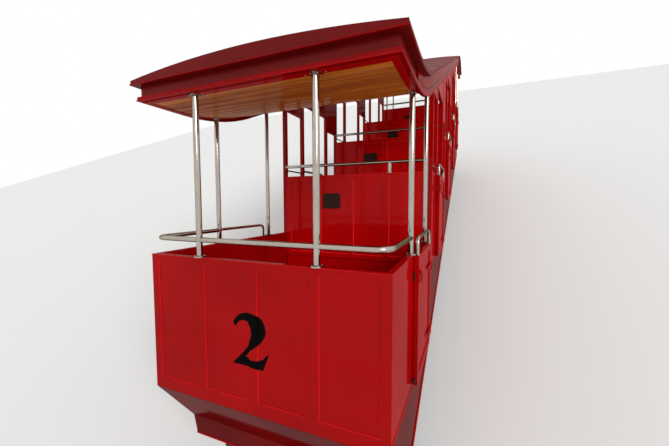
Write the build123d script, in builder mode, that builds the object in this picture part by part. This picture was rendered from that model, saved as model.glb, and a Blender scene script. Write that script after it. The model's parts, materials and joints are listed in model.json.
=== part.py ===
"""Open funicular car: five floors in steps on one sloping underframe.

The car is stored as it stands on a flat floor, with the plane of its wheels level. +Y runs along
the track, uphill, and +Z is square to it. The body is drawn in its own level frame, the one that
its passengers stand in: CAR is that frame, and SIDE looks at it from the right, with the level
distance uphill from the lower end as its first coordinate and the height above the lowest floor
as its second. Sizes are in millimetres.
"""
import math
import os

from build123d import *

# Slope of the track and the steps of the floors
TRACK_SLOPE = 0.433
LOWER_BALCONY = 2120
PITCH = 1880
BULKHEADS = 4

# Body
BODY_WIDTH = 2100
WALL = 50
POST_WIDTH = 60
GUARD_HEIGHT = 1140
FLOOR_THICKNESS = 40
SOLE_DROP = 50
RISER_RECESS = 20
APRON_THICKNESS = 50

# Framed aprons: bars stand proud of the panels between them
APRON_STILE = 70
APRON_RAIL = 60
APRON_BATTEN = 70
APRON_PANELS = 4
PANEL_DEPTH = 12

# Lower skirt, slanting back under the lower end
SKIRT_BACK = 390
SKIRT_FALL = 560
SKIRT_LIP_BACK = 430
SKIRT_THICKNESS = 40

# Doors
DOOR_OPENING = 850
DOOR_END = 460
DOOR_OVERLAP = 30
DOOR_THICKNESS = 40
DOOR_CLEARANCE = 5
DOOR_SILL_GAP = 20
DOOR_TOP_DROP = 6
DOOR_FRAME = 60

# Hinges: a fixed knuckle with a pin, and a barrel on the leaf that turns on it
HINGE_HEIGHTS = (180, 900)
HINGE_RADIUS = 12
HINGE_PIN_RADIUS = 6
HINGE_BARREL = 60
HINGE_KNUCKLE = 30
HINGE_CLEARANCE = 0.3
HINGE_FROM_LEAF = 18
HINGE_ARM = 12
STRAP_LENGTH = 260
STRAP_HEIGHT = 40
STRAP_THICKNESS = 5

# Tubes
POLE_DIAMETER = 48
FRONT_POLE_X = 525
RAIL_DIAMETER = 42
RAIL_ABOVE_GUARD = 140
RAIL_CORNER = 110
DOOR_RAIL_DIAMETER = 33
DOOR_RAIL_CORNER = 55
FLANGE_DIAMETER = 92
FLANGE_THICKNESS = 10
WINDOW_BAR_DIAMETER = 22
WINDOW_BAR_ABOVE_GUARD = 95

# Latches on the doors
LATCH_HEIGHT = 960
LATCH_PLATE = (5, 46, 130)
LATCH_LEVER = (14, 18, 110)
LATCH_FROM_EDGE = 55

# Openings in the sides of the compartments: how far each header hangs under the ceiling's line
HEADER_DROP_A = 104
HEADER_DROP_B = 104
HEADER_DROP_C = 728

# Roof: ceiling boards, a fascia round them, a recessed slab, and an arched band that stands out.
# On the slope the band is narrower, over a plate that closes the recess, and the fascia is deeper
CEILING_HEIGHT = 2420
LOWER_BEND = 800
BEND_RADIUS = 2500
ROOF_JOINT = 500
CEILING_THICKNESS = 35
FASCIA_THICKNESS = 28
FASCIA_FRONT = 40
FASCIA_OVERHANG = 50
FASCIA_JOINT = 400
BOARD_SHIFT = 130
GROOVE = 10
CHEEK_REACH = 200
RECESS_OVERHANG = 35
RECESS_HEIGHT = 90
CAP_OVERHANG = 70
BAND_FRONT = 65
BAND_OVERHANG = 90
BAND_EDGE = 40
BAND_ARCH = 73

# Benches
BENCH_DEPTH = 430
BENCH_HEIGHT = 450
BENCH_FOOT = 300
BENCH_SLATS = 5
BENCH_SLAT_GAP = 12
BENCH_BOARD = 30
BENCH_SIDE_GAP = 10
BENCH_SUPPORTS = 3
BENCH_SUPPORT_WIDTH = 40
BENCH_NOSE = 90
BACK_BOARD_HEIGHTS = (560, 700)
BACK_BOARD_WIDTH = 110
BACK_BOARD_THICKNESS = 20

# Underframe and wheels
SOLE_BAR_X = 740
SOLE_BAR_WIDTH = 80
SOLE_BAR_DEPTH = 160
CROSS_WIDTH = 100
CROSS_DEPTH = 120
CHANNEL_WEB = 12
CHANNEL_FLANGE = 14
TREAD_DIAMETER = 500
FLANGE_RISE = 25
FLANGE_TOP = (8, 20)
FLANGE_ROOT = 35
AXLE_BELOW_SOLE = 280
AXLE_DIAMETER = 110
JOURNAL_DIAMETER = 90
JOURNAL_CLEARANCE = 0.5
BACK_TO_BACK = 940
WHEEL_WIDTH = 120
RIM_THICKNESS = 45
TREAD_TAPER = 4
WEB_THICKNESS = 25
WEB_HOLES = 6
WEB_HOLE_DIAMETER = 58
HUB_DIAMETER = 170
BOX_LENGTH = 200
BOX_HEIGHT = 170
BOX_WIDTH = 110
BOX_CORNER = 30
COVER_DIAMETER = 130
COVER_THICKNESS = 16
PAD_DIAMETER = 90
GUIDE_WIDTH = 50

# Rail brake and rope anchor
JAW_GAP = 80
JAW_THICKNESS = 35
JAW_LENGTH = 260
JAW_ABOVE_FLOOR = 8
RAIL_CENTRE_X = 535
ANCHOR_BORE = 50
ANCHOR_LUG = 25
ANCHOR_GAP = 60
ANCHOR_REACH = 130
ANCHOR_RADIUS = 55

# Worked out from the sizes above
ANGLE = math.atan(TRACK_SLOPE)
RISE = TRACK_SLOPE * PITCH
HALF = BODY_WIDTH / 2
INNER = HALF - WALL
BODY_LENGTH = LOWER_BALCONY + BULKHEADS * PITCH
FLANGE_RADIUS = TREAD_DIAMETER / 2 + FLANGE_RISE
SOLE_TOP = AXLE_BELOW_SOLE + FLANGE_RADIUS
RAIL_HEIGHT = GUARD_HEIGHT + RAIL_ABOVE_GUARD
TUBE_X = HALF - WALL / 2
FASCIA_HALF_WIDTH = HALF + FASCIA_OVERHANG
FASCIA_IN = FASCIA_HALF_WIDTH - FASCIA_THICKNESS
FASCIA_BACK = FASCIA_FRONT - FASCIA_THICKNESS
RECESS_HALF_WIDTH = HALF + RECESS_OVERHANG
RECESS_TOP = CEILING_THICKNESS + RECESS_HEIGHT
CAP_HALF_WIDTH = HALF + CAP_OVERHANG
BAND_HALF_WIDTH = HALF + BAND_OVERHANG
BEND_TANGENT = BEND_RADIUS * math.tan(ANGLE / 2)
SIDES = (("left", -1), ("right", 1))


def wall_line(floor):
    """Level distance from the lower end to the downhill wall of a floor."""
    return 0 if floor == 0 else LOWER_BALCONY + (floor - 1) * PITCH


def floor_height(floor):
    """Height of a floor over the lowest one."""
    return floor * RISE


def sole_line(distance):
    """Height of the body's sloping lower edge."""
    return TRACK_SLOPE * (distance - LOWER_BALCONY) - SOLE_DROP


def ceiling_line(distance):
    """Height of the ceiling: level, sloping, then level again, with both bends rounded."""
    inside = min(max(distance, LOWER_BEND), UPPER_BEND)
    height = CEILING_HEIGHT + TRACK_SLOPE * (inside - LOWER_BEND)
    for bend, level, way in ((LOWER_BEND, CEILING_HEIGHT, 1), (UPPER_BEND, UPPER_CEILING, -1)):
        reach = BEND_TANGENT + way * (distance - bend)
        if 0 < reach < BEND_RADIUS * math.sin(ANGLE):
            height = level + way * (BEND_RADIUS - math.sqrt(BEND_RADIUS**2 - reach**2))
    return height


def along(distance, height):
    """Distance along the track of a point in the level frame."""
    return distance * math.cos(ANGLE) + height * math.sin(ANGLE)


def door_span(floor):
    """Where the door opening of a floor starts and ends."""
    end = wall_line(floor + 1) - DOOR_END
    return end - DOOR_OPENING, end


UPPER_BEND = LOWER_BEND + BULKHEADS * PITCH
UPPER_CEILING = CEILING_HEIGHT + TRACK_SLOPE * (UPPER_BEND - LOWER_BEND)
ROOF_TOP = RECESS_TOP + BAND_EDGE + BAND_ARCH
LOWEST_ALONG = along(0, -FLOOR_THICKNESS)
HIGHEST_ALONG = along(BODY_LENGTH + BAND_FRONT, ceiling_line(BODY_LENGTH) + ROOF_TOP)
MIDDLE_ALONG = (LOWEST_ALONG + HIGHEST_ALONG) / 2
SOLE_BELOW_ORIGIN = -sole_line(0) * math.cos(ANGLE)

CAR = Plane(
    origin=(0, -MIDDLE_ALONG, SOLE_TOP + SOLE_BELOW_ORIGIN),
    x_dir=(1, 0, 0),
    z_dir=(0, math.sin(ANGLE), math.cos(ANGLE)),
)
SIDE = Plane(origin=CAR.origin, x_dir=CAR.y_dir, z_dir=CAR.x_dir)


def wall_plane(side, inner, thickness):
    """Plane to draw a wall on, so that it reaches outward from inner by its thickness."""
    return SIDE.offset(inner if side > 0 else -inner - thickness)


def save(builder, name):
    """Label a finished sub-part and write its file."""
    builder.part.label = name
    export_step(builder.part, f"parts/{name}.step")


def save_joined(builders, name):
    """Label pieces that touch but stay separate solids, and write them as one file."""
    pieces = Compound([solid for builder in builders for solid in builder.part.solids()])
    pieces.label = name
    export_step(pieces, f"parts/{name}.step")


def roof_line(front, shift=0):
    """Add the line that the ceiling follows past both ends, or that line shifted uphill."""
    return FilletPolyline(
        (-front, CEILING_HEIGHT),
        (LOWER_BEND + shift, CEILING_HEIGHT),
        (UPPER_BEND + shift, UPPER_CEILING),
        (BODY_LENGTH + front, UPPER_CEILING),
        radius=BEND_RADIUS,
    )


def region_above(front, shift=0, mode=Mode.ADD):
    """Sketch all that lies over the ceiling's line, or over that line shifted uphill."""
    with BuildLine() as outline:
        edge = roof_line(front, shift)
        Polyline(
            edge @ 1,
            (BODY_LENGTH + front, 2 * UPPER_CEILING),
            (-front, 2 * UPPER_CEILING),
            edge @ 0,
        )
    make_face(outline.edges(), mode=mode)


os.makedirs("parts", exist_ok=True)

# The space above the ceiling, in the car's own frame: posts and upper panels are trimmed to it
with BuildPart() as above_ceiling:
    with BuildSketch(Plane.YZ):
        region_above(BAND_FRONT)
    extrude(amount=BODY_WIDTH, both=True)

# Underframe: channels along the track, with cross members between them under the steps
SOLE_START = along(SKIRT_LIP_BACK, sole_line(SKIRT_LIP_BACK)) + SKIRT_THICKNESS - MIDDLE_ALONG
SOLE_END = along(BODY_LENGTH, sole_line(BODY_LENGTH)) - MIDDLE_ALONG
STEP_ALONG = [
    along(wall_line(n), sole_line(wall_line(n))) - MIDDLE_ALONG for n in range(1, BULKHEADS + 1)
]
AXLES = {
    "lower_wheelset": (STEP_ALONG[0] + STEP_ALONG[1]) / 2,
    "upper_wheelset": (STEP_ALONG[2] + STEP_ALONG[3]) / 2,
}
AXLE_HEIGHT = FLANGE_RADIUS
CROSS_ALONG = [SOLE_START + CROSS_WIDTH / 2, *STEP_ALONG, SOLE_END - CROSS_WIDTH / 2]
SOLE_LENGTH = SOLE_END - SOLE_START

with BuildPart() as sole_bars:
    with BuildSketch(Plane.XZ.offset(-SOLE_START)):
        with Locations((SOLE_BAR_X, SOLE_TOP - SOLE_BAR_DEPTH / 2)):
            Rectangle(SOLE_BAR_WIDTH, SOLE_BAR_DEPTH)
        with Locations((SOLE_BAR_X + SOLE_BAR_WIDTH / 2, SOLE_TOP - SOLE_BAR_DEPTH / 2)):
            Rectangle(
                SOLE_BAR_WIDTH - CHANNEL_WEB,
                SOLE_BAR_DEPTH - 2 * CHANNEL_FLANGE,
                align=(Align.MAX, Align.CENTER),
                mode=Mode.SUBTRACT,
            )
        mirror(about=Plane.YZ)
    extrude(amount=-SOLE_LENGTH)

CROSS_REACH = SOLE_BAR_X - SOLE_BAR_WIDTH / 2
with BuildPart() as cross_members:
    with BuildSketch(Plane.YZ.offset(-CROSS_REACH)):
        with Locations([(place, SOLE_TOP) for place in CROSS_ALONG]):
            Rectangle(CROSS_WIDTH, CROSS_DEPTH, align=(Align.CENTER, Align.MAX))
        with Locations([(place - CROSS_WIDTH / 2, SOLE_TOP - CROSS_DEPTH / 2) for place in CROSS_ALONG]):
            Rectangle(
                CROSS_WIDTH - CHANNEL_WEB,
                CROSS_DEPTH - 2 * CHANNEL_FLANGE,
                align=(Align.MIN, Align.CENTER),
                mode=Mode.SUBTRACT,
            )
    extrude(amount=2 * CROSS_REACH)
save_joined((sole_bars, cross_members), "underframe")

# Axle boxes: each slides in guides under its sole bar, with a rubber pad over it as its spring
GUIDE_TOP = SOLE_TOP - SOLE_BAR_DEPTH
BOX_TOP = AXLE_HEIGHT + BOX_HEIGHT / 2
BOX_END = SOLE_BAR_X + BOX_WIDTH / 2
with BuildPart() as axle_boxes:
    for place in AXLES.values():
        with BuildSketch(Plane.YZ.offset(SOLE_BAR_X - BOX_WIDTH / 2)) as box_face:
            with Locations((place, AXLE_HEIGHT)):
                RectangleRounded(BOX_LENGTH - GUIDE_WIDTH, BOX_HEIGHT, BOX_CORNER)
                Circle(JOURNAL_DIAMETER / 2 + JOURNAL_CLEARANCE, mode=Mode.SUBTRACT)
        extrude(box_face.sketch, amount=BOX_WIDTH)
        with BuildSketch(Plane.YZ.offset(BOX_END)) as cover:
            with Locations((place, AXLE_HEIGHT)):
                Circle(COVER_DIAMETER / 2)
        extrude(cover.sketch, amount=COVER_THICKNESS)
        with Locations((SOLE_BAR_X, place, GUIDE_TOP)):
            with GridLocations(1, BOX_LENGTH, 1, 2):
                Box(
                    GUIDE_WIDTH,
                    GUIDE_WIDTH,
                    GUIDE_TOP - AXLE_HEIGHT,
                    align=(Align.CENTER, Align.CENTER, Align.MAX),
                )
        with Locations((SOLE_BAR_X, place, BOX_TOP)):
            Cylinder(
                PAD_DIAMETER / 2,
                GUIDE_TOP - BOX_TOP,
                align=(Align.CENTER, Align.CENTER, Align.MIN),
            )
    mirror(about=Plane.YZ)
save(axle_boxes, "axle_boxes")

# Wheelsets: an axle with its journals and a flanged wheel near each end
TREAD = TREAD_DIAMETER / 2
HUB = HUB_DIAMETER / 2
WHEEL_IN = BACK_TO_BACK / 2
WHEEL_OUT = WHEEL_IN + WHEEL_WIDTH
WEB_IN = WHEEL_IN + WHEEL_WIDTH / 2 - WEB_THICKNESS / 2
WHEEL_SECTION = (
    (WHEEL_IN, 0),
    (WHEEL_IN, HUB),
    (WEB_IN, HUB),
    (WEB_IN, TREAD - RIM_THICKNESS),
    (WHEEL_IN, TREAD - RIM_THICKNESS),
    (WHEEL_IN, FLANGE_RADIUS - FLANGE_RISE / 2),
    (WHEEL_IN + FLANGE_TOP[0], FLANGE_RADIUS),
    (WHEEL_IN + FLANGE_TOP[1], FLANGE_RADIUS),
    (WHEEL_IN + FLANGE_ROOT, TREAD),
    (WHEEL_OUT, TREAD - TREAD_TAPER),
    (WHEEL_OUT, TREAD - RIM_THICKNESS),
    (WEB_IN + WEB_THICKNESS, TREAD - RIM_THICKNESS),
    (WEB_IN + WEB_THICKNESS, HUB),
    (WHEEL_OUT, HUB),
    (WHEEL_OUT, 0),
)
AXLE_END = BOX_END - JOURNAL_CLEARANCE
WEB_HOLE_RING = (HUB + TREAD - RIM_THICKNESS) / 2
for name, place in AXLES.items():
    axis = Axis((0, place, AXLE_HEIGHT), (1, 0, 0))
    with BuildPart() as wheelset:
        with BuildSketch(Plane(origin=(0, place, AXLE_HEIGHT))) as half_section:
            with BuildLine():
                Polyline(*WHEEL_SECTION, close=True)
            make_face()
            mirror(about=Plane.YZ)
            with Locations((0, 0)):
                Rectangle(2 * WHEEL_OUT, AXLE_DIAMETER / 2, align=(Align.CENTER, Align.MIN))
                Rectangle(2 * AXLE_END, JOURNAL_DIAMETER / 2, align=(Align.CENTER, Align.MIN))
        revolve(axis=axis)
        with BuildSketch(Plane.YZ.offset(-WHEEL_OUT)):
            with Locations((place, AXLE_HEIGHT)):
                with PolarLocations(WEB_HOLE_RING, WEB_HOLES):
                    Circle(WEB_HOLE_DIAMETER / 2)
        extrude(amount=2 * WHEEL_OUT, mode=Mode.SUBTRACT)
    save(wheelset, name)

# Rail brake: a pair of jaws over each rail, hung from the cross member between the axles
BRAKE_ALONG = STEP_ALONG[1] + CROSS_WIDTH
BRAKE_TOP = SOLE_TOP - CROSS_DEPTH
JAW_X = (JAW_GAP + JAW_THICKNESS) / 2
with BuildPart() as rail_brake:
    for side in (-1, 1):
        centre = side * RAIL_CENTRE_X
        with Locations((centre, BRAKE_ALONG, BRAKE_TOP)):
            Box(
                JAW_GAP + 2 * JAW_THICKNESS,
                JAW_LENGTH,
                CROSS_DEPTH,
                align=(Align.CENTER, Align.CENTER, Align.MAX),
            )
        with Locations((centre - JAW_X, BRAKE_ALONG, BRAKE_TOP), (centre + JAW_X, BRAKE_ALONG, BRAKE_TOP)):
            Box(
                JAW_THICKNESS,
                JAW_LENGTH,
                BRAKE_TOP - JAW_ABOVE_FLOOR,
                align=(Align.CENTER, Align.CENTER, Align.MAX),
            )
save(rail_brake, "rail_brake")

# Rope anchor: two lugs with a pin bore at the uphill end
ANCHOR_HEIGHT = SOLE_TOP - CROSS_DEPTH / 2
with BuildPart() as rope_anchor:
    with BuildSketch(Plane.YZ.offset(ANCHOR_GAP / 2)):
        with Locations((SOLE_END, ANCHOR_HEIGHT)):
            Rectangle(ANCHOR_REACH, 2 * ANCHOR_RADIUS, align=(Align.MIN, Align.CENTER))
        with Locations((SOLE_END + ANCHOR_REACH, ANCHOR_HEIGHT)):
            Circle(ANCHOR_RADIUS)
            Circle(ANCHOR_BORE / 2, mode=Mode.SUBTRACT)
    extrude(amount=ANCHOR_LUG)
    mirror(about=Plane.YZ)
    with Locations((0, SOLE_END, ANCHOR_HEIGHT)):
        Box(
            ANCHOR_GAP + 2 * ANCHOR_LUG,
            ANCHOR_LUG,
            2 * ANCHOR_RADIUS,
            align=(Align.CENTER, Align.MIN, Align.CENTER),
        )
save(rope_anchor, "rope_anchor")

# Floors, each from the back of its riser to the next one
with BuildPart(CAR) as floors:
    for n in range(BULKHEADS + 1):
        start = wall_line(n) + APRON_THICKNESS
        end = wall_line(n + 1) + RISER_RECESS if n < BULKHEADS else BODY_LENGTH - APRON_THICKNESS
        with Locations((0, start, floor_height(n))):
            Box(
                2 * INNER,
                end - start,
                FLOOR_THICKNESS,
                align=(Align.CENTER, Align.MIN, Align.MAX),
            )
save(floors, "floors")


def apron_pockets(width):
    """Sketch the panels between the bars of an apron, centred on its lower edge."""
    inside = width - 2 * APRON_STILE
    panel = (inside - (APRON_PANELS - 1) * APRON_BATTEN) / APRON_PANELS
    height = GUARD_HEIGHT - 2 * APRON_RAIL
    with Locations((0, GUARD_HEIGHT / 2)):
        with GridLocations(panel + APRON_BATTEN, 1, APRON_PANELS, 1):
            Rectangle(panel, height)


def front_plane(distance, height):
    """Plane square to the car's length, looking downhill, with the car's height as its second axis."""
    origin = CAR.from_local_coords((0, distance, height))
    return Plane(origin=origin, x_dir=CAR.x_dir, z_dir=-CAR.y_dir)


# Bulkheads: a framed apron over the riser to the floor before it
for n in range(1, BULKHEADS + 1):
    with BuildPart(CAR) as bulkhead:
        with Locations((0, wall_line(n), floor_height(n))):
            Box(
                2 * INNER,
                APRON_THICKNESS,
                GUARD_HEIGHT,
                align=(Align.CENTER, Align.MIN, Align.MIN),
            )
        riser = (wall_line(n) + RISER_RECESS, wall_line(n) + APRON_THICKNESS)
        with BuildSketch(SIDE.offset(-INNER)):
            with BuildLine():
                Polyline(
                    (riser[0], sole_line(riser[0])),
                    (riser[1], sole_line(riser[1])),
                    (riser[1], floor_height(n)),
                    (riser[0], floor_height(n)),
                    close=True,
                )
            make_face()
        extrude(amount=2 * INNER)
        with BuildSketch(front_plane(wall_line(n), floor_height(n))):
            apron_pockets(2 * INNER)
        extrude(amount=-PANEL_DEPTH, mode=Mode.SUBTRACT)
    save(bulkhead, f"bulkhead_{n}")

# End aprons, as wide as the body
with BuildPart(CAR) as lower_apron:
    with Locations((0, 0, GUARD_HEIGHT)):
        Box(
            BODY_WIDTH,
            APRON_THICKNESS,
            GUARD_HEIGHT + FLOOR_THICKNESS,
            align=(Align.CENTER, Align.MIN, Align.MAX),
        )
    with BuildSketch(front_plane(0, 0)):
        apron_pockets(BODY_WIDTH)
    extrude(amount=-PANEL_DEPTH, mode=Mode.SUBTRACT)
save(lower_apron, "lower_apron")

UPPER_FLOOR = floor_height(BULKHEADS)
with BuildPart(CAR) as upper_apron:
    with Locations((0, BODY_LENGTH, UPPER_FLOOR + GUARD_HEIGHT)):
        Box(
            BODY_WIDTH,
            APRON_THICKNESS,
            GUARD_HEIGHT + FLOOR_THICKNESS,
            align=(Align.CENTER, Align.MAX, Align.MAX),
        )
    with BuildSketch(front_plane(BODY_LENGTH - PANEL_DEPTH, UPPER_FLOOR)):
        apron_pockets(BODY_WIDTH)
    extrude(amount=-PANEL_DEPTH, mode=Mode.SUBTRACT)
save(upper_apron, "upper_apron")

# Lower skirt: a panel that slants back, with a lip down to the sole line
SKIRT_SECTION = (
    (0, -FLOOR_THICKNESS),
    (SKIRT_BACK, -SKIRT_FALL),
    (SKIRT_LIP_BACK, sole_line(SKIRT_LIP_BACK)),
    (SKIRT_LIP_BACK + SKIRT_THICKNESS, sole_line(SKIRT_LIP_BACK + SKIRT_THICKNESS)),
    (SKIRT_BACK + SKIRT_THICKNESS, -SKIRT_FALL),
    (SKIRT_THICKNESS, -FLOOR_THICKNESS),
)
with BuildPart() as lower_skirt:
    with BuildSketch(SIDE.offset(-HALF)):
        with BuildLine():
            Polyline(*SKIRT_SECTION, close=True)
        make_face()
    extrude(amount=BODY_WIDTH)
save(lower_skirt, "lower_skirt")


def side_skirt_outline():
    """Outline of a side skirt: stepped along the floors, sloping below."""
    points = [(APRON_THICKNESS, 0), (APRON_THICKNESS, -FLOOR_THICKNESS)]
    points.append((SKIRT_THICKNESS, -FLOOR_THICKNESS))
    points.append((SKIRT_BACK + SKIRT_THICKNESS, -SKIRT_FALL))
    back = SKIRT_LIP_BACK + SKIRT_THICKNESS
    points.append((back, sole_line(back)))
    points.append((BODY_LENGTH, sole_line(BODY_LENGTH)))
    points.append((BODY_LENGTH, UPPER_FLOOR - FLOOR_THICKNESS))
    points.append((BODY_LENGTH - APRON_THICKNESS, UPPER_FLOOR - FLOOR_THICKNESS))
    points.append((BODY_LENGTH - APRON_THICKNESS, UPPER_FLOOR))
    for floor in range(BULKHEADS, 0, -1):
        points.append((wall_line(floor), floor_height(floor)))
        points.append((wall_line(floor), floor_height(floor - 1)))
    return points


def side_block(plane, start, end, bottom, top):
    """Add a block of wall between two distances and two heights."""
    with BuildSketch(plane) as block:
        with Locations(((start + end) / 2, (bottom + top) / 2)):
            Rectangle(end - start, top - bottom)
    extrude(block.sketch, amount=WALL)


for side_name, side in SIDES:
    wall = wall_plane(side, INNER, WALL)

    with BuildPart() as side_skirt:
        with BuildSketch(wall):
            with BuildLine():
                Polyline(*side_skirt_outline(), close=True)
            make_face()
        extrude(amount=WALL)
    save(side_skirt, f"{side_name}_skirt")

    # Posts of the compartments, from their floor to the ceiling
    with BuildPart(CAR) as posts:
        for n in range(1, BULKHEADS + 1):
            starts = [wall_line(n)]
            if n < BULKHEADS:
                starts += [door_span(n)[0] - POST_WIDTH, door_span(n)[1]]
            for start in starts:
                side_block(wall, start, start + POST_WIDTH, floor_height(n), UPPER_CEILING + WALL)
        add(above_ceiling.part, mode=Mode.SUBTRACT)
    save(posts, f"{side_name}_posts")

    # Waist panels on both sides of each door
    with BuildPart() as waist_panels:
        for n in range(BULKHEADS + 1):
            door_start, door_end = door_span(n)
            jamb = POST_WIDTH if 0 < n < BULKHEADS else 0
            first = APRON_THICKNESS if n == 0 else wall_line(n) + POST_WIDTH
            last = wall_line(n + 1) if n < BULKHEADS else BODY_LENGTH - APRON_THICKNESS
            top = floor_height(n) + GUARD_HEIGHT
            side_block(wall, first, door_start - jamb, floor_height(n), top)
            side_block(wall, door_end + jamb, last, floor_height(n), top)
    save(waist_panels, f"{side_name}_waist_panels")

    # Upper panels: over each bay of a compartment, from its header to the ceiling
    with BuildPart(CAR) as upper_panels:
        for n in range(1, BULKHEADS):
            door_start, door_end = door_span(n)
            bays = (
                (wall_line(n) + POST_WIDTH, door_start - POST_WIDTH, HEADER_DROP_A),
                (door_start, door_end, HEADER_DROP_B),
                (door_end + POST_WIDTH, wall_line(n + 1), HEADER_DROP_C),
            )
            for start, end, drop in bays:
                side_block(wall, start, end, ceiling_line(start) - drop, UPPER_CEILING + WALL)
        add(above_ceiling.part, mode=Mode.SUBTRACT)
    save(upper_panels, f"{side_name}_upper_panels")

    # A bar over the waist of the bays beside each door of the compartments
    with BuildPart(CAR) as window_bars:
        for n in range(1, BULKHEADS):
            door_start, door_end = door_span(n)
            height = floor_height(n) + GUARD_HEIGHT + WINDOW_BAR_ABOVE_GUARD
            for start, end in (
                (wall_line(n) + POST_WIDTH, door_start - POST_WIDTH),
                (door_end + POST_WIDTH, wall_line(n + 1)),
            ):
                with Locations((side * TUBE_X, (start + end) / 2, height)):
                    Cylinder(WINDOW_BAR_DIAMETER / 2, end - start, rotation=(90, 0, 0))
    save(window_bars, f"{side_name}_window_bars")

# Doors: a framed leaf outside the wall, hinged at its uphill edge
LEAF_IN = HALF + DOOR_CLEARANCE
LEAF_OUT = LEAF_IN + DOOR_THICKNESS
LEAF_HEIGHT = GUARD_HEIGHT - DOOR_SILL_GAP - DOOR_TOP_DROP
LEAF_WIDTH = DOOR_OPENING + 2 * DOOR_OVERLAP
for side_name, side in SIDES:
    leaf_plane = wall_plane(side, LEAF_IN, DOOR_THICKNESS)
    outer_face = SIDE.offset(side * LEAF_OUT)
    for n in range(BULKHEADS + 1):
        door_start, door_end = door_span(n)
        first = door_start - DOOR_OVERLAP
        last = door_end + DOOR_OVERLAP
        hinge_line = last + HINGE_FROM_LEAF
        sill = floor_height(n) + DOOR_SILL_GAP
        middle = ((first + last) / 2, sill + LEAF_HEIGHT / 2)
        with BuildPart(CAR) as leaf:
            with BuildSketch(leaf_plane):
                with Locations(middle):
                    Rectangle(LEAF_WIDTH, LEAF_HEIGHT)
            extrude(amount=DOOR_THICKNESS)
            with BuildSketch(outer_face):
                with Locations(middle):
                    Rectangle(LEAF_WIDTH - 2 * DOOR_FRAME, LEAF_HEIGHT - 2 * DOOR_FRAME)
            extrude(amount=-side * PANEL_DEPTH, mode=Mode.SUBTRACT)
            for height in HINGE_HEIGHTS:
                strap_middle = hinge_line - STRAP_LENGTH / 2
                with Locations((side * LEAF_OUT, strap_middle, floor_height(n) + height)):
                    Box(
                        STRAP_THICKNESS,
                        STRAP_LENGTH,
                        STRAP_HEIGHT,
                        align=(Align.MIN if side > 0 else Align.MAX, Align.CENTER, Align.CENTER),
                    )
                with Locations((side * LEAF_OUT, hinge_line, floor_height(n) + height)):
                    Cylinder(HINGE_RADIUS, HINGE_BARREL)
                    Cylinder(
                        HINGE_PIN_RADIUS + HINGE_CLEARANCE,
                        HINGE_BARREL,
                        mode=Mode.SUBTRACT,
                    )
        save(leaf, f"{side_name}_door_{n}")

        rail_top = floor_height(n) + RAIL_HEIGHT
        leaf_top = sill + LEAF_HEIGHT
        rail_plane = SIDE.offset(side * (LEAF_IN + DOOR_THICKNESS / 2))
        inset = DOOR_OVERLAP + DOOR_RAIL_DIAMETER / 2
        with BuildPart(CAR) as fittings:
            with BuildLine(rail_plane) as rail_path:
                FilletPolyline(
                    (first + inset, leaf_top),
                    (first + inset, rail_top),
                    (last - inset, rail_top),
                    (last - inset, leaf_top),
                    radius=DOOR_RAIL_CORNER,
                )
            with BuildSketch(Plane(origin=rail_path.line @ 0, z_dir=rail_path.line % 0)):
                Circle(DOOR_RAIL_DIAMETER / 2)
            sweep(path=rail_path.line)
            out = Align.MIN if side > 0 else Align.MAX
            with Locations((side * LEAF_OUT, first + LATCH_FROM_EDGE, floor_height(n) + LATCH_HEIGHT)):
                Box(*LATCH_PLATE, align=(out, Align.CENTER, Align.CENTER))
            with Locations(
                (
                    side * (LEAF_OUT + LATCH_PLATE[0]),
                    first + LATCH_FROM_EDGE,
                    floor_height(n) + LATCH_HEIGHT,
                )
            ):
                Box(*LATCH_LEVER, align=(out, Align.CENTER, Align.CENTER))
        save(fittings, f"{side_name}_door_fittings_{n}")

# Hinges on the posts: an arm, a knuckle under the barrel and the pin up through it
for side_name, side in SIDES:
    with BuildPart(CAR) as hinges:
        for n in range(BULKHEADS + 1):
            hinge_line = door_span(n)[1] + DOOR_OVERLAP + HINGE_FROM_LEAF
            for height in HINGE_HEIGHTS:
                under = floor_height(n) + height - HINGE_BARREL / 2 - HINGE_CLEARANCE
                with Locations((side * HALF, hinge_line, under)):
                    Box(
                        LEAF_OUT - HALF,
                        HINGE_ARM,
                        HINGE_KNUCKLE,
                        align=(Align.MIN if side > 0 else Align.MAX, Align.CENTER, Align.MAX),
                    )
                with Locations((side * LEAF_OUT, hinge_line, under)):
                    Cylinder(
                        HINGE_RADIUS,
                        HINGE_KNUCKLE,
                        align=(Align.CENTER, Align.CENTER, Align.MAX),
                    )
                    Cylinder(
                        HINGE_PIN_RADIUS,
                        HINGE_BARREL,
                        align=(Align.CENTER, Align.CENTER, Align.MIN),
                    )
    save(hinges, f"{side_name}_door_hinges")


def pole(x, distance, foot):
    """Add a pole from a height to the ceiling, with a flange at its foot and one at its top."""
    reach = FLANGE_DIAMETER / 2
    downhill, uphill = ceiling_line(distance - reach), ceiling_line(distance + reach)
    top = min(ceiling_line(distance), (downhill + uphill) / 2)
    base = (Align.CENTER, Align.CENTER, Align.MIN)
    with Locations((x, distance, foot)):
        Cylinder(POLE_DIAMETER / 2, top + POLE_DIAMETER / 2 - foot, align=base)
        Cylinder(reach, FLANGE_THICKNESS, align=base)
    tilt = math.atan2(uphill - downhill, 2 * reach)
    down = CAR.y_dir * math.sin(tilt) - CAR.z_dir * math.cos(tilt)
    with BuildSketch(Plane(CAR.from_local_coords((x, distance, top)), z_dir=down)) as flange:
        Circle(reach)
    extrude(flange.sketch, amount=-POLE_DIAMETER, mode=Mode.SUBTRACT)
    extrude(flange.sketch, amount=FLANGE_THICKNESS)


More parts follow.
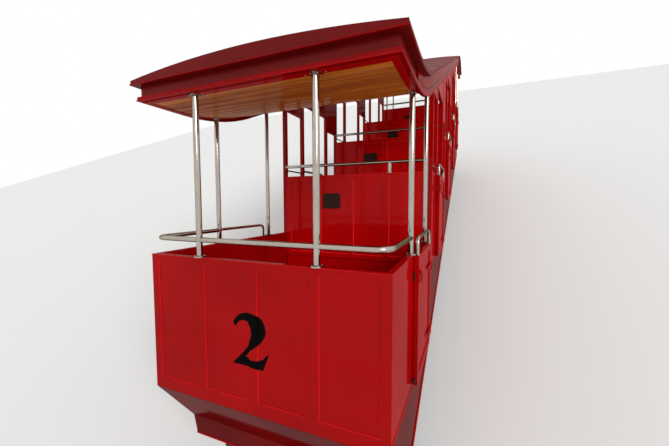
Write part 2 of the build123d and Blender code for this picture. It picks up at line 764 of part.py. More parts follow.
def balcony_rail(end_line, side_line, height):
    """Add the handrail that runs across an end and back along both sides."""
    with BuildLine(CAR) as rail_path:
        FilletPolyline(
            (-TUBE_X, side_line, height),
            (-TUBE_X, end_line, height),
            (TUBE_X, end_line, height),
            (TUBE_X, side_line, height),
            radius=RAIL_CORNER,
        )
    with BuildSketch(Plane(origin=rail_path.line @ 0, z_dir=rail_path.line % 0)) as tube:
        Circle(RAIL_DIAMETER / 2)
    sweep(tube.sketch, path=rail_path.line)


# Chrome poles of the balconies, and the handrails between them, each length cut to its poles
JAMB = POST_WIDTH / 2
for name, floor, end_line, rail_pole in (
    ("lower_balcony_rails", 0, APRON_THICKNESS / 2, 0),
    ("upper_balcony_rails", BULKHEADS, BODY_LENGTH - APRON_THICKNESS / 2, 1),
):
    waist = floor_height(floor) + GUARD_HEIGHT
    jambs = (door_span(floor)[0] - JAMB, door_span(floor)[1] + JAMB)
    spots = [(side * FRONT_POLE_X, end_line) for side in (-1, 1)]
    spots += [(side * TUBE_X, distance) for side in (-1, 1) for distance in jambs]
    with BuildPart(CAR) as poles:
        for x, distance in spots:
            pole(x, distance, waist)
    with BuildPart(CAR) as rails:
        balcony_rail(end_line, jambs[rail_pole], waist + RAIL_ABOVE_GUARD)
        with Locations([(x, distance, waist) for x, distance in spots]):
            Cylinder(
                POLE_DIAMETER / 2,
                2 * RAIL_ABOVE_GUARD,
                align=(Align.CENTER, Align.CENTER, Align.MIN),
                mode=Mode.SUBTRACT,
            )
    save_joined((poles, rails), name)

# Rails over the bulkheads, between the posts, each with one stanchion
with BuildPart(CAR) as bulkhead_rails:
    for n in range(1, BULKHEADS + 1):
        centre = wall_line(n) + APRON_THICKNESS / 2
        with Locations((0, centre, floor_height(n) + RAIL_HEIGHT)):
            Cylinder(RAIL_DIAMETER / 2, 2 * INNER, rotation=(0, 90, 0))
        with Locations((FRONT_POLE_X, centre, floor_height(n) + GUARD_HEIGHT)):
            Cylinder(
                RAIL_DIAMETER / 2,
                RAIL_ABOVE_GUARD,
                align=(Align.CENTER, Align.CENTER, Align.MIN),
            )
save(bulkhead_rails, "bulkhead_rails")

# Benches: slats on three supports, one bench against each wall of a compartment, face to face
BENCH_WIDTH = 2 * (INNER - BENCH_SIDE_GAP)
SUPPORT_STEP = (BENCH_WIDTH - BENCH_SUPPORT_WIDTH) / (BENCH_SUPPORTS - 1)
SUPPORT_STARTS = [k * SUPPORT_STEP - BENCH_WIDTH / 2 for k in range(BENCH_SUPPORTS)]
SLAT_STEP = (BENCH_DEPTH + BENCH_SLAT_GAP) / BENCH_SLATS
for n in range(1, BULKHEADS):
    floor_z = floor_height(n)
    seat = floor_z + BENCH_HEIGHT
    with BuildPart(CAR) as benches:
        for wall_face, facing in (
            (wall_line(n) + APRON_THICKNESS, 1),
            (wall_line(n + 1) + RISER_RECESS, -1),
        ):
            foot = wall_face + facing * BENCH_FOOT
            front = wall_face + facing * BENCH_DEPTH
            for start in SUPPORT_STARTS:
                with BuildSketch(SIDE.offset(start)) as support:
                    with BuildLine():
                        Polyline(
                            (wall_face, floor_z),
                            (foot, floor_z),
                            (front, seat - BENCH_NOSE),
                            (front, seat - BENCH_BOARD),
                            (wall_face, seat - BENCH_BOARD),
                            close=True,
                        )
                    make_face()
                extrude(support.sketch, amount=BENCH_SUPPORT_WIDTH)
            with Locations((0, (wall_face + front) / 2, seat)):
                with GridLocations(1, SLAT_STEP, 1, BENCH_SLATS):
                    Box(
                        BENCH_WIDTH,
                        SLAT_STEP - BENCH_SLAT_GAP,
                        BENCH_BOARD,
                        align=(Align.CENTER, Align.CENTER, Align.MAX),
                    )
            toward = Align.MIN if facing > 0 else Align.MAX
            with Locations([(0, wall_face, floor_z + height) for height in BACK_BOARD_HEIGHTS]):
                Box(
                    BENCH_WIDTH,
                    BACK_BOARD_THICKNESS,
                    BACK_BOARD_WIDTH,
                    align=(Align.CENTER, toward, Align.CENTER),
                )
    save(benches, f"benches_{n}")

# Roof: every layer follows the ceiling's line, so each is swept along it and cut at the joints
def joint(place):
    """Plane across the roof over a place, square to its slope."""
    return Plane(CAR.from_local_coords((0, place, ceiling_line(place))), z_dir=(0, 1, 0))


def stretches(reach):
    """The three stretches of the roof, with their joints a distance past the bends."""
    lower, upper = joint(LOWER_BEND + reach), joint(UPPER_BEND - reach)
    return {"lower": (None, lower), "slope": (lower, upper), "upper": (upper, None)}


def sweep_layer(front, section):
    """Sweep a section along the ceiling's line, which starts a distance out from the lower end."""
    with BuildLine(SIDE) as path:
        roof_line(front)
    sweep(section, path=path.line)


def layer_plane(front):
    """Upright plane across the start of a layer, looking uphill, with the ceiling at height 0."""
    origin = CAR.from_local_coords((0, -front, CEILING_HEIGHT))
    return Plane(origin, x_dir=-CAR.x_dir, z_dir=CAR.y_dir)


def keep_stretch(start, end):
    """Keep what lies between two joints; None stands for an end of the roof."""
    if start is not None:
        split(bisect_by=start, keep=Keep.TOP)
    if end is not None:
        split(bisect_by=end, keep=Keep.BOTTOM)


def side_strip(side, inner, outer, bottom, top):
    """Sweep a strip of one side along the ceiling's line, between two heights over it."""
    with BuildSketch(layer_plane(FASCIA_BACK)) as strip:
        with Locations((-side * inner, bottom)):
            Rectangle(
                outer - inner,
                top - bottom,
                align=(Align.MAX if side > 0 else Align.MIN, Align.MIN),
            )
    sweep_layer(FASCIA_BACK, strip.sketch)


def side_board(side, top):
    """Add the fascia board of one side, which hangs under the ceiling's line on the slope."""
    with BuildSketch(wall_plane(side, FASCIA_IN, FASCIA_THICKNESS)) as drop:
        region_above(FASCIA_BACK, BOARD_SHIFT)
        region_above(FASCIA_BACK, mode=Mode.SUBTRACT)
    extrude(drop.sketch, amount=FASCIA_THICKNESS)
    side_strip(side, FASCIA_IN, FASCIA_HALF_WIDTH, 0, top)


for name, stretch in stretches(ROOF_JOINT).items():
    half_width = CAP_HALF_WIDTH if name == "slope" else BAND_HALF_WIDTH
    with BuildPart() as roof:
        with BuildSketch(layer_plane(FASCIA_BACK)) as slab:
            with Locations((0, CEILING_THICKNESS)):
                Rectangle(2 * RECESS_HALF_WIDTH, RECESS_HEIGHT, align=(Align.CENTER, Align.MIN))
        sweep_layer(FASCIA_BACK, slab.sketch)
        with BuildSketch(layer_plane(BAND_FRONT)) as band:
            with BuildLine():
                ThreePointArc(
                    (-half_width, RECESS_TOP + BAND_EDGE),
                    (0, ROOF_TOP),
                    (half_width, RECESS_TOP + BAND_EDGE),
                )
                Polyline(
                    (half_width, RECESS_TOP + BAND_EDGE),
                    (half_width, RECESS_TOP),
                    (-half_width, RECESS_TOP),
                    (-half_width, RECESS_TOP + BAND_EDGE),
                )
            make_face()
        sweep_layer(BAND_FRONT, band.sketch)
        keep_stretch(*stretch)
    save(roof, f"roof_{name}")

# Ceiling under the whole roof, between the fascia boards
with BuildPart() as ceiling:
    with BuildSketch(layer_plane(FASCIA_BACK)) as boards:
        Rectangle(2 * FASCIA_IN, CEILING_THICKNESS, align=(Align.CENTER, Align.MIN))
    sweep_layer(FASCIA_BACK, boards.sketch)
save(ceiling, "ceiling")

# Fascia on the slope: a deep board, a groove, and the plate that closes the recess
FASCIA_STRETCHES = stretches(FASCIA_JOINT)
for side_name, side in SIDES:
    with BuildPart() as fascia:
        side_board(side, CEILING_THICKNESS - GROOVE)
        side_strip(side, RECESS_HALF_WIDTH, CAP_HALF_WIDTH, CEILING_THICKNESS, RECESS_TOP)
        keep_stretch(*FASCIA_STRETCHES["slope"])
    save(fascia, f"{side_name}_fascia")

# Fascia of each end: boards round three sides, and cheeks that close the recess at the bends
LOWER_CHEEK = (LOWER_BEND - CHEEK_REACH, LOWER_BEND + FASCIA_JOINT)
UPPER_CHEEK = (UPPER_BEND - FASCIA_JOINT, UPPER_BEND + CHEEK_REACH)
for name, board_end, height, cheek_ends in (
    ("lower", -FASCIA_BACK, CEILING_HEIGHT, LOWER_CHEEK),
    ("upper", BODY_LENGTH + FASCIA_FRONT, UPPER_CEILING, UPPER_CHEEK),
):
    with BuildPart() as cheeks:
        for _, side in SIDES:
            side_strip(side, RECESS_HALF_WIDTH, FASCIA_HALF_WIDTH, CEILING_THICKNESS, RECESS_TOP)
        keep_stretch(*[joint(place) for place in cheek_ends])
    with BuildPart() as fascia:
        for _, side in SIDES:
            side_board(side, CEILING_THICKNESS)
        keep_stretch(*FASCIA_STRETCHES[name])
        with Locations(CAR * Location((0, board_end, height))):
            Box(
                2 * FASCIA_HALF_WIDTH,
                FASCIA_THICKNESS,
                CEILING_THICKNESS,
                align=(Align.CENTER, Align.MAX, Align.MIN),
            )
        add(cheeks.part)
    save(fascia, f"fascia_{name}")
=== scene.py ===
"""Open red funicular car: the looks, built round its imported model.

The car's walls and floors belong to a level frame, which leans in the stored one. Every piece is
drawn in level coordinates: x across the car, the distance uphill from the lower end, and the
height over the lowest floor. Sizes are in metres.
"""
import json
import logging
import math
from dataclasses import dataclass
from enum import Enum
from typing import Any, Iterable, Sequence

import bmesh
import bpy
from mathutils import Matrix, Vector

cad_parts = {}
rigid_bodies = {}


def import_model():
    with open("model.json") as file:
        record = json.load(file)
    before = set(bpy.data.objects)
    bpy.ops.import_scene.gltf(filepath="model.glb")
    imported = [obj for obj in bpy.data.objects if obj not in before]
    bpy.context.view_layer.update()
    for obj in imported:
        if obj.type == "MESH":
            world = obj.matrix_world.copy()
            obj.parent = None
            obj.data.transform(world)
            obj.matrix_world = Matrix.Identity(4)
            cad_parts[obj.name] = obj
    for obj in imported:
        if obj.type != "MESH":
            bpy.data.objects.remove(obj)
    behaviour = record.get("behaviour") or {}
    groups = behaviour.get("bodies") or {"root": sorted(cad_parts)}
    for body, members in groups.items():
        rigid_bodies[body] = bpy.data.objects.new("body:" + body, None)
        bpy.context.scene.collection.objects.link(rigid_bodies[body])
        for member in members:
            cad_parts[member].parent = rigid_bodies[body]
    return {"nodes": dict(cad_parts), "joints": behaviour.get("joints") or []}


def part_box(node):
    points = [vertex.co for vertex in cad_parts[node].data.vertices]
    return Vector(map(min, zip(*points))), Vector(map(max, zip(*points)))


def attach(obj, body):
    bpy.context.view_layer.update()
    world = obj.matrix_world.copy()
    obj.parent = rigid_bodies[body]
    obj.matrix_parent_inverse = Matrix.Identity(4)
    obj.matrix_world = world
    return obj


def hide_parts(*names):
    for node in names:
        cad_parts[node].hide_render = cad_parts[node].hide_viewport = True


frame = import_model()

LOG = logging.getLogger("funicular")
Point = tuple[float, float, float]
Pair = tuple[float, float]
Colour = tuple[float, float, float]
# A point of a line with its upward direction, and a point of a path with both its directions
Station = tuple[Vector, Vector]
Guide = tuple[Vector, Vector, Vector]

CAR_BODY = "car_body"
ACROSS = Vector((1, 0, 0))
UPHILL = Vector((0, 1, 0))
UP = Vector((0, 0, 1))
# How far a trim reaches into the face that it lies on
SUNK = 0.001
# Edges sharper than this stay sharp, or are rounded where a piece is softened
SHARP = math.radians(35)


class Slot(Enum):
    """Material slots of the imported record."""

    PAINT = "red_paint"
    TUBE = "chrome_tube"
    CEILING = "ceiling_boards"
    BENCH = "bench_wood"
    FLOOR = "floor_boards"
    ROOF = "roof_skin"
    FRAME = "frame_steel"
    WHEEL = "wheel_steel"
    BAR = "bar_paint"
    HINGE = "hinge_steel"


class Facing(Enum):
    """A way out of the car, valued by its sign along an axis."""

    @property
    def word(self) -> str:
        """Its name in the names of nodes and pieces."""
        return self.name.lower()


class Side(Facing):
    """Sides of the car, as seen from its lower end."""

    LEFT = -1
    RIGHT = 1

    @property
    def out(self) -> Vector:
        """Direction out of the car on this side."""
        return ACROSS * self.value


class End(Facing):
    """Ends of the car."""

    LOWER = -1
    UPPER = 1

    @property
    def out(self) -> Vector:
        """Direction out of the car at this end."""
        return UPHILL * self.value


# ---------------------------------------------------------------- the level frame


@dataclass(frozen=True)
class LevelFrame:
    """The frame that passengers stand in, as it lies in the stored frame."""

    origin: Vector
    uphill: Vector
    up: Vector

    @classmethod
    def from_model(cls, floor_thickness: float = 0.04) -> "LevelFrame":
        """Find the frame from a door's hinge line and the lower apron.

        Args:
            floor_thickness: How far the lower apron reaches below the lowest floor.

        Returns:
            The level frame, with its origin at the foot of the lower apron.
        """
        axis = Vector(next(j["axis"] for j in frame["joints"] if j["name"] == "right_door_0_swing"))
        up = axis if axis.z > 0 else -axis
        uphill = up.cross(ACROSS)
        points = [v.co for v in frame["nodes"]["lower_apron"].data.vertices]
        start = min(p.dot(uphill) for p in points)
        foot = min(p.dot(up) for p in points) + floor_thickness
        return cls(uphill * start + up * foot, uphill, up)

    @property
    def slope(self) -> float:
        """Rise of the track per metre of level distance."""
        return self.up.y / self.up.z

    def matrix(self) -> Matrix:
        """Transform from level coordinates to the stored frame."""
        return Matrix.Translation(self.origin) @ turned_to(ACROSS, self.uphill, self.up)

    def extent(self, node: str) -> tuple[Vector, Vector]:
        """Lowest and highest level coordinates of a node.

        Args:
            node: Name of a CAD node.

        Returns:
            Two corners, each as (x, distance, height).
        """
        back = self.matrix().inverted()
        places = list(zip(*(back @ v.co for v in frame["nodes"][node].data.vertices)))
        return Vector([min(p) for p in places]), Vector([max(p) for p in places])


def turned_to(*columns: Vector) -> Matrix:
    """Rotation that takes the three axes to three directions."""
    return Matrix([[c[row] for c in columns] for row in range(3)]).to_4x4()


# ---------------------------------------------------------------- shapes


class Shape:
    """Faces gathered in level coordinates, which end as one piece of the car."""

    def __init__(self, level: LevelFrame) -> None:
        """Start empty.

        Args:
            level: Frame that the shape is drawn in.
        """
        self.level = level
        self.mesh = bmesh.new()
        self.tones: dict[int, float] = {}

    def loft(self, rings: Sequence[Sequence[Point | Vector]], closed: bool = False,
             tone: float | None = None) -> None:
        """Join rings of points with faces, and fill the end rings.

        Args:
            rings: Rings with the same number of points each.
            closed: Whether the last ring joins the first, which leaves no ends.
            tone: Tone kept on the points for the finish to read, if any.
        """
        start = len(self.mesh.verts)
        made = [[self.mesh.verts.new(p) for p in ring] for ring in rings]
        pairs = list(zip(made, made[1:]))
        if closed:
            pairs.append((made[-1], made[0]))
        for one, two in pairs:
            for i in range(len(one)):
                self.mesh.faces.new((one[i - 1], one[i], two[i], two[i - 1]))
        if not closed:
            self.mesh.faces.new(made[0])
            self.mesh.faces.new(made[-1])
        if tone is not None:
            self.tones.update(dict.fromkeys(range(start, len(self.mesh.verts)), tone))

    def block(self, low: Point, high: Point) -> None:
        """Add a block.

        Args:
            low: One corner.
            high: The opposite corner.
        """
        (x0, x1), (y0, y1), (z0, z1) = (sorted(pair) for pair in zip(low, high))
        self.loft([[(x0, y0, z), (x1, y0, z), (x1, y1, z), (x0, y1, z)] for z in (z0, z1)])

    def turned(self, profile: Sequence[Pair], base: Vector, way: Vector, sides: int = 16) -> None:
        """Add a turned solid.

        Args:
            profile: Pairs of radius and height along the way.
            base: Where height is 0.
            way: Direction of the height, of length 1.
            sides: Number of faces round it.
        """
        across = way.orthogonal().normalized()
        other = way.cross(across)
        self.loft([[base + way * height + across * a + other * b for a, b in circle(radius, sides)]
                   for radius, height in profile])

    def tube(self, path: Sequence[Vector], radius: float, sides: int = 20) -> None:
        """Add a round tube along a path.

        Args:
            path: Points of its middle line.
            radius: Its radius.
            sides: Number of faces round it.
        """
        ways = [(after - before).normalized()
                for before, after in zip([path[0], *path], [*path[1:], path[-1]])]
        across = ways[0].orthogonal()
        rings = []
        for point, way in zip(path, ways):
            across = (across - way * across.dot(way)).normalized()
            other = way.cross(across)
            rings.append([point + across * a + other * b for a, b in circle(radius, sides)])
        self.loft(rings)

    def bead(self, low: Point, high: Point, out: Vector, size: float) -> None:
        """Add a rounded bead inside a rectangle.

        Args:
            low: Lower corner of the rectangle.
            high: The opposite corner.
            out: Direction that the bead stands out in.
            size: Width and thickness of the bead.
        """
        low, high = Vector(low), Vector(high)
        inward = Vector((high.x - low.x, high.y - low.y, 0)).normalized() + UP
        rings = []
        for inset, proud in bead_section(size):
            a = low + inward * inset + out * proud
            b = high - inward * inset + out * proud
            rings.append([a, (b.x, b.y, a.z), b, (a.x, a.y, b.z)])
        self.loft(rings, closed=True)

    def moulding(self, path: Sequence[Guide], section: Sequence[Pair],
                 closed: bool = False) -> None:
        """Add a section that follows a path.

        Args:
            path: Points, each with its outward and its upward direction.
            section: Points of the section, as distances outward and upward.
            closed: Whether the path ends where it starts.
        """
        rings = [[point + out * a + up * b for a, b in section] for point, out, up in path]
        self.loft(rings, closed)

    def domes(self, spots: Iterable[Vector], way: Vector, radius: float, height: float,
              sides: int = 10) -> None:
        """Add a domed head at each spot.

        Args:
            spots: Middles of the heads.
            way: Direction that they stand out in.
            radius: Radius of each head.
            height: Height of each head.
            sides: Number of faces round it.
        """
        for spot in spots:
            self.turned(dome(radius, height), spot, way, sides)

    def finish(self, name: str, material: bpy.types.Material, slot: Slot | None = None,
               body: str = CAR_BODY, soften: float = 0.0, replaces: Iterable[str] = ()) -> None:
        """Turn the faces into a piece that rides on a body, and report it.

        Args:
            name: Name of the piece.
            material: Its material.
            slot: Slot of the record that the finish belongs to; not used.
            body: Body that it rides on.
            soften: Width of the rounding on its edges, or 0.
            replaces: CAD nodes that it stands for.
        """
        bmesh.ops.recalc_face_normals(self.mesh, faces=self.mesh.faces)
        bmesh.ops.transform(self.mesh, matrix=self.level.matrix(), verts=self.mesh.verts)
        if self.tones:
            layer = self.mesh.verts.layers.float.new("tone")
            self.mesh.verts.ensure_lookup_table()
            for index, tone in self.tones.items():
                self.mesh.verts[index][layer] = tone
        data = bpy.data.meshes.new(name)
        self.mesh.to_mesh(data)
        self.mesh.free()
        for polygon in data.polygons:
            polygon.use_smooth = True
        data.set_sharp_from_angle(angle=SHARP)
        data.materials.append(material)
        piece = add_object(name, data)
        if soften:
            soften_edges(piece, soften)
        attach(piece, body)
        if replaces:
            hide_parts(*replaces)
        LOG.info("piece %s on %s", name, body)


def circle(radius: float, sides: int, first: float = 0.0) -> list[Pair]:
    """Divide a circle.

    Args:
        radius: Its radius.
        sides: Number of points round it.
        first: Angle of the first point, in degrees.

    Returns:
        The points.
    """
    turns = [math.radians(first + 360 * k / sides) for k in range(sides)]
    return [(radius * math.cos(t), radius * math.sin(t)) for t in turns]


def bead_section(size: float) -> list[Pair]:
    """Draw the section of a bead, a quarter round against the frame.

    Args:
        size: Its width and thickness.

    Returns:
        Its points, as pairs of inset and height.
    """
    turns = [math.radians(a) for a in (0, 30, 60, 90)]
    return [(0.0, -SUNK), *((size * math.sin(t), size * math.cos(t)) for t in turns), (size, -SUNK)]


def half_round(radius: float, reach: float = SUNK) -> list[Pair]:
    """Draw the section of a half-round moulding.

    Args:
        radius: Its radius.
        reach: How far it reaches into the face that it lies on.

    Returns:
        Its points, as distances outward and upward.
    """
    turns = [math.radians(a) for a in range(-90, 91, 30)]
    return [(-reach, -radius), *((radius * math.cos(t), radius * math.sin(t)) for t in turns),
            (-reach, radius)]


def dome(radius: float, height: float) -> list[Pair]:
    """Draw the profile of a domed head.

    Args:
        radius: Its radius at the foot.
        height: Its height.

    Returns:
        Pairs of radius and height.
    """
    turns = [math.radians(a) for a in (0, 25, 50, 75)]
    return [(radius, -SUNK), *((radius * math.cos(t), height * math.sin(t)) for t in turns),
            (radius * 0.05, height)]


def add_object(name: str, data: bpy.types.ID) -> bpy.types.Object:
    """Put data into the scene.

    Args:
        name: Name of the object.
        data: Its mesh, lamp or camera.

    Returns:
        The new object.
    """
    thing = bpy.data.objects.new(name, data)
    bpy.context.scene.collection.objects.link(thing)
    return thing


def soften_edges(piece: bpy.types.Object, width: float) -> None:
    """Round the sharp edges of an object.

    Args:
        piece: The object.
        width: Width of the rounding.
    """
    edge = piece.modifiers.new("soft edges", "BEVEL")
    edge.width = width
    edge.segments = 2
    edge.limit_method = "ANGLE"
    edge.angle_limit = SHARP
    edge.harden_normals = True


def arc_points(points: Sequence[Vector], radius: float, steps: int = 6) -> list[Vector]:
    """Round the corners of a path.

    Args:
        points: Corners of the path.
        radius: Radius at each inner corner.
        steps: Number of steps in each corner.

    Returns:
        The points of the rounded path.
    """
    path = [points[0]]
    for before, corner, after in zip(points, points[1:], points[2:]):
        one, two = (before - corner).normalized(), (after - corner).normalized()
        half = one.angle(two) / 2
        centre = corner + (one + two).normalized() * (radius / math.sin(half))
        start, end = (corner + way * (radius / math.tan(half)) - centre for way in (one, two))
        for k in range(steps + 1):
            path.append(centre + start.normalized().slerp(end.normalized(), k / steps) * radius)
    path.append(points[-1])
    return path


# ---------------------------------------------------------------- finishes


def tinted(colour: Colour, share: float, more: float = 0.0) -> Colour:
    """A share of a colour, with a little grey added."""
    return tuple(share * c + more for c in colour)


class Recipe:
    """The node tree of a material, built node by node."""

    def __init__(self, name: str) -> None:
        """Start a material with its shader.

        Args:
            name: Name of the material.
        """
        self.material = bpy.data.materials.new(name)
        self.material.use_nodes = True
        self.tree = self.material.node_tree
        self.shader = self.tree.nodes["Principled BSDF"]
        self.place = self.add("ShaderNodeTexCoord", {}).outputs["Object"]

    def give(self, socket: bpy.types.NodeSocket, value: Any) -> None:
        """Link or set an input.

        Args:
            socket: The input.
            value: Socket to link, or number, vector or colour to set.
        """
        if isinstance(value, bpy.types.NodeSocket):
            self.tree.links.new(value, socket)
        elif isinstance(value, tuple) and len(socket.default_value) == 4:
            socket.default_value = (*value, 1.0)
        else:
            socket.default_value = value

    def add(self, kind: str, values: dict[Any, Any], **options: Any) -> bpy.types.Node:
        """Add a node.

        Args:
            kind: Type name of the node.
            values: Inputs by name or number, each a value or a socket to link.
            options: Settings of the node.

        Returns:
            The node.
        """
        node = self.tree.nodes.new(kind)
        for option, value in options.items():
            setattr(node, option, value)
        for key, value in values.items():
            self.give(node.inputs[key], value)
        return node

    def noise(self, scale: float, detail: float = 3.0, stretch: Point = (1, 1, 1),
              distortion: float = 0.0) -> bpy.types.NodeSocket:
        """Cloudy pattern from 0 to 1.

        Args:
            scale: Number of cells per metre.
            detail: Number of finer layers.
            stretch: Scale on each axis besides.
            distortion: How much the cells are drawn about.

        Returns:
            The pattern's socket.
        """
        place = self.add("ShaderNodeMapping", {"Vector": self.place, "Scale": stretch})
        values = {"Vector": place.outputs["Vector"], "Scale": scale, "Detail": detail,
                  "Distortion": distortion}
        return self.add("ShaderNodeTexNoise", values).outputs["Fac"]

    def ramp(self, value: bpy.types.NodeSocket, low: float, high: float, start: float = 0.0,
             end: float = 1.0) -> bpy.types.NodeSocket:
        """Stretch a value to another range.

        Args:
            value: The value.
            low: What gives the start of the new range.
            high: What gives its end.
            start: The start of the new range.
            end: The end of the new range.

        Returns:
            The stretched value's socket.
        """
        values = {"Value": value, "From Min": low, "From Max": high, "To Min": start, "To Max": end}
        return self.add("ShaderNodeMapRange", values).outputs["Result"]

    def between(self, value: bpy.types.NodeSocket, low: float, high: float) -> bpy.types.NodeSocket:
        """Spread a cloudy pattern over a range."""
        return self.ramp(value, 0.3, 0.7, low, high)

    def blend(self, share: bpy.types.NodeSocket, one: Any, two: Any) -> bpy.types.NodeSocket:
        """Mix two colours, each a colour or a socket."""
        return self.add("ShaderNodeMix", {0: share, 6: one, 7: two}, data_type="RGBA").outputs[2]

    def reckon(self, kind: str, one: Any, two: Any = 0.0) -> bpy.types.NodeSocket:
        """Join two numbers by a kind of arithmetic."""
        return self.add("ShaderNodeMath", {0: one, 1: two}, operation=kind).outputs[0]

    def times(self, one: Any, two: Any) -> bpy.types.NodeSocket:
        """Multiply two numbers."""
        return self.reckon("MULTIPLY", one, two)

    def cover(self, paint: bpy.types.NodeSocket, pattern: bpy.types.NodeSocket, share: float,
              colour: Colour) -> bpy.types.NodeSocket:
        """Lay a share of a colour over a paint where a pattern is."""
        return self.blend(self.times(pattern, share), paint, colour)

    def relief(self, height: bpy.types.NodeSocket, depth: float,
               under: bpy.types.NodeSocket | None = None) -> bpy.types.NodeSocket:
        """Turn a pattern into a relief.

        Args:
            height: The pattern.
            depth: Its depth in metres.
            under: Normal of the relief under it, if any.

        Returns:
            The normal's socket.
        """
        values = {"Height": height, "Distance": depth, "Strength": 1.0}
        if under is not None:
            values["Normal"] = under
        return self.add("ShaderNodeBump", values).outputs["Normal"]

    def shade(self, **values: Any) -> None:
        """Set or link inputs of the shader, named with underscores for spaces."""
        for key, value in values.items():
            self.give(self.shader.inputs[key.replace("_", " ")], value)


@dataclass(frozen=True)
class Finish:
    """A finish with two close shades."""

    name: str
    colour: Colour
    shade: Colour

    def make(self) -> bpy.types.Material:
        """Make the material.

        Returns:
            The material.
        """
        recipe = Recipe(self.name)
        self.mix(recipe)
        return recipe.material

    def mottled(self, r: Recipe, scale: float, detail: float) -> bpy.types.NodeSocket:
        """The two shades in clouds of a scale and detail."""
        return r.blend(r.between(r.noise(scale, detail), 0.0, 1.0), self.colour, self.shade)

    def mix(self, r: Recipe) -> None:
        """Build the nodes of the finish."""
        raise NotImplementedError


@dataclass(frozen=True)
class GlossPaint(Finish):
    """Brushed gloss paint: two close shades, soft brush waves, small chips and scuffs."""

    chip: Colour = (0.09, 0.006, 0.006)
    roughness: Pair = (0.2, 0.36)
    coat: float = 0.16

    def mix(self, r: Recipe) -> None:
        """Build the nodes of the paint.

        Args:
            r: Recipe to build them in.
        """
        paint = self.mottled(r, 1.6, 4.0)
        dust = r.ramp(r.noise(11.0, 6.0, (1, 1, 0.35)), 0.56, 0.82)
        paint = r.cover(paint, dust, 0.2, tinted(self.colour, 0.55, 0.008))
        chips = r.ramp(r.noise(85.0, 2.0), 0.735, 0.75)
        paint = r.blend(chips, paint, self.chip)
        waves = r.relief(r.noise(24.0, 3.0, (1.0, 1.0, 0.16)), 0.0006)
        peel = r.relief(r.noise(260.0, 2.0), 0.00006, waves)
        scuffs = r.noise(46.0, 5.0, (0.25, 1.0, 1.0))
        r.shade(Base_Color=paint, Roughness=r.between(scuffs, *self.roughness), Normal=peel,
                Specular_IOR_Level=0.0, Coat_Weight=self.coat, Coat_Roughness=0.08)


@dataclass(frozen=True)
class RoofPaint(Finish):
    """Red paint that the weather has chalked and streaked where it faces up."""

    chalk: Colour

    def mix(self, r: Recipe) -> None:
        """Build the nodes of the paint.

        Args:
            r: Recipe to build them in.
        """
        paint = self.mottled(r, 2.2, 5.0)
        normal = r.add("ShaderNodeNewGeometry", {}).outputs["Normal"]
        facing = r.add("ShaderNodeSeparateXYZ", {0: normal}).outputs["Z"]
        clouds = r.ramp(r.noise(1.7, 7.0, (1.0, 0.4, 1.0)), 0.3, 0.75)
        worn = r.times(r.ramp(facing, 0.8, 0.95), clouds)
        paint = r.cover(paint, worn, 0.55, self.chalk)
        streaks = r.ramp(r.noise(3.0, 5.0, (0.5, 4.0, 4.0)), 0.58, 0.8)
        paint = r.cover(paint, streaks, 0.25, tinted(self.shade, 0.45))
        grain = r.relief(r.noise(320.0, 2.0), 0.00012, r.relief(r.noise(9.0, 3.0), 0.001))
        r.shade(Base_Color=paint, Roughness=r.between(r.noise(12.0, 5.0), 0.28, 0.5), Normal=grain,
                Specular_IOR_Level=0.0, Coat_Weight=0.3, Coat_Roughness=0.35)


@dataclass(frozen=True)
class PolishedTube(Finish):
    """Polished steel tube: smudges, faint lines round it, and dark edges as painted reflection."""

    roughness: Pair = (0.05, 0.13)
    # Colour at grazing angles, kept dark as a painted reflection of dark surroundings
    edge: Colour = (0.3, 0.25, 0.2)

    def mix(self, r: Recipe) -> None:
        """Build the nodes of the metal.

        Args:
            r: Recipe to build them in.
        """
        clouds = r.between(r.noise(9.0, 4.0), 0.0, 1.0)
        bands = r.ramp(r.noise(60.0, 2.0, (1.0, 1.0, 0.02)), 0.35, 0.65)
        metal = r.blend(r.times(clouds, bands), self.colour, self.shade)
        lines = r.relief(r.noise(900.0, 1.0, (1, 1, 0.04)), 0.00001)
        r.shade(Base_Color=metal, Metallic=1.0, Specular_Tint=self.edge, Normal=lines,
                Roughness=r.between(r.noise(38.0, 5.0), *self.roughness))


@dataclass(frozen=True)
class VarnishedWood(Finish):
    """Varnished boards: grain along one axis, fine pores, and a tone for each board."""

    grain: Point = (0.9, 22.0, 22.0)
    gloss: Pair = (0.18, 0.34)
    has_tones: bool = False

    def mix(self, r: Recipe) -> None:
        """Build the nodes of the wood.

        Args:
            r: Recipe to build them in.
        """
        broad, fine = r.noise(1.0, 5.0, self.grain, 1.2), r.noise(5.0, 3.0, self.grain)
        figure = r.reckon("ADD", r.times(broad, 0.7), r.times(fine, 0.3))
        share = r.ramp(figure, 0.34, 0.66)
        if self.has_tones:
            tone = r.add("ShaderNodeAttribute", {}, attribute_name="tone").outputs["Fac"]
            share = r.reckon("ADD", share, r.times(tone, 0.9))
            share = r.add("ShaderNodeClamp", {"Value": share}).outputs[0]
        pores = r.ramp(r.noise(26.0, 2.0, self.grain), 0.66, 0.75)
        wood = r.cover(r.blend(share, self.colour, self.shade), pores, 0.5, tinted(self.shade, 0.3))
        normal = r.relief(pores, -0.0002, r.relief(figure, 0.0005))
        r.shade(Base_Color=wood, Roughness=r.between(r.noise(6.0, 4.0), *self.gloss),
                Normal=normal, Specular_IOR_Level=0.0, Coat_Weight=0.2, Coat_Roughness=0.1)


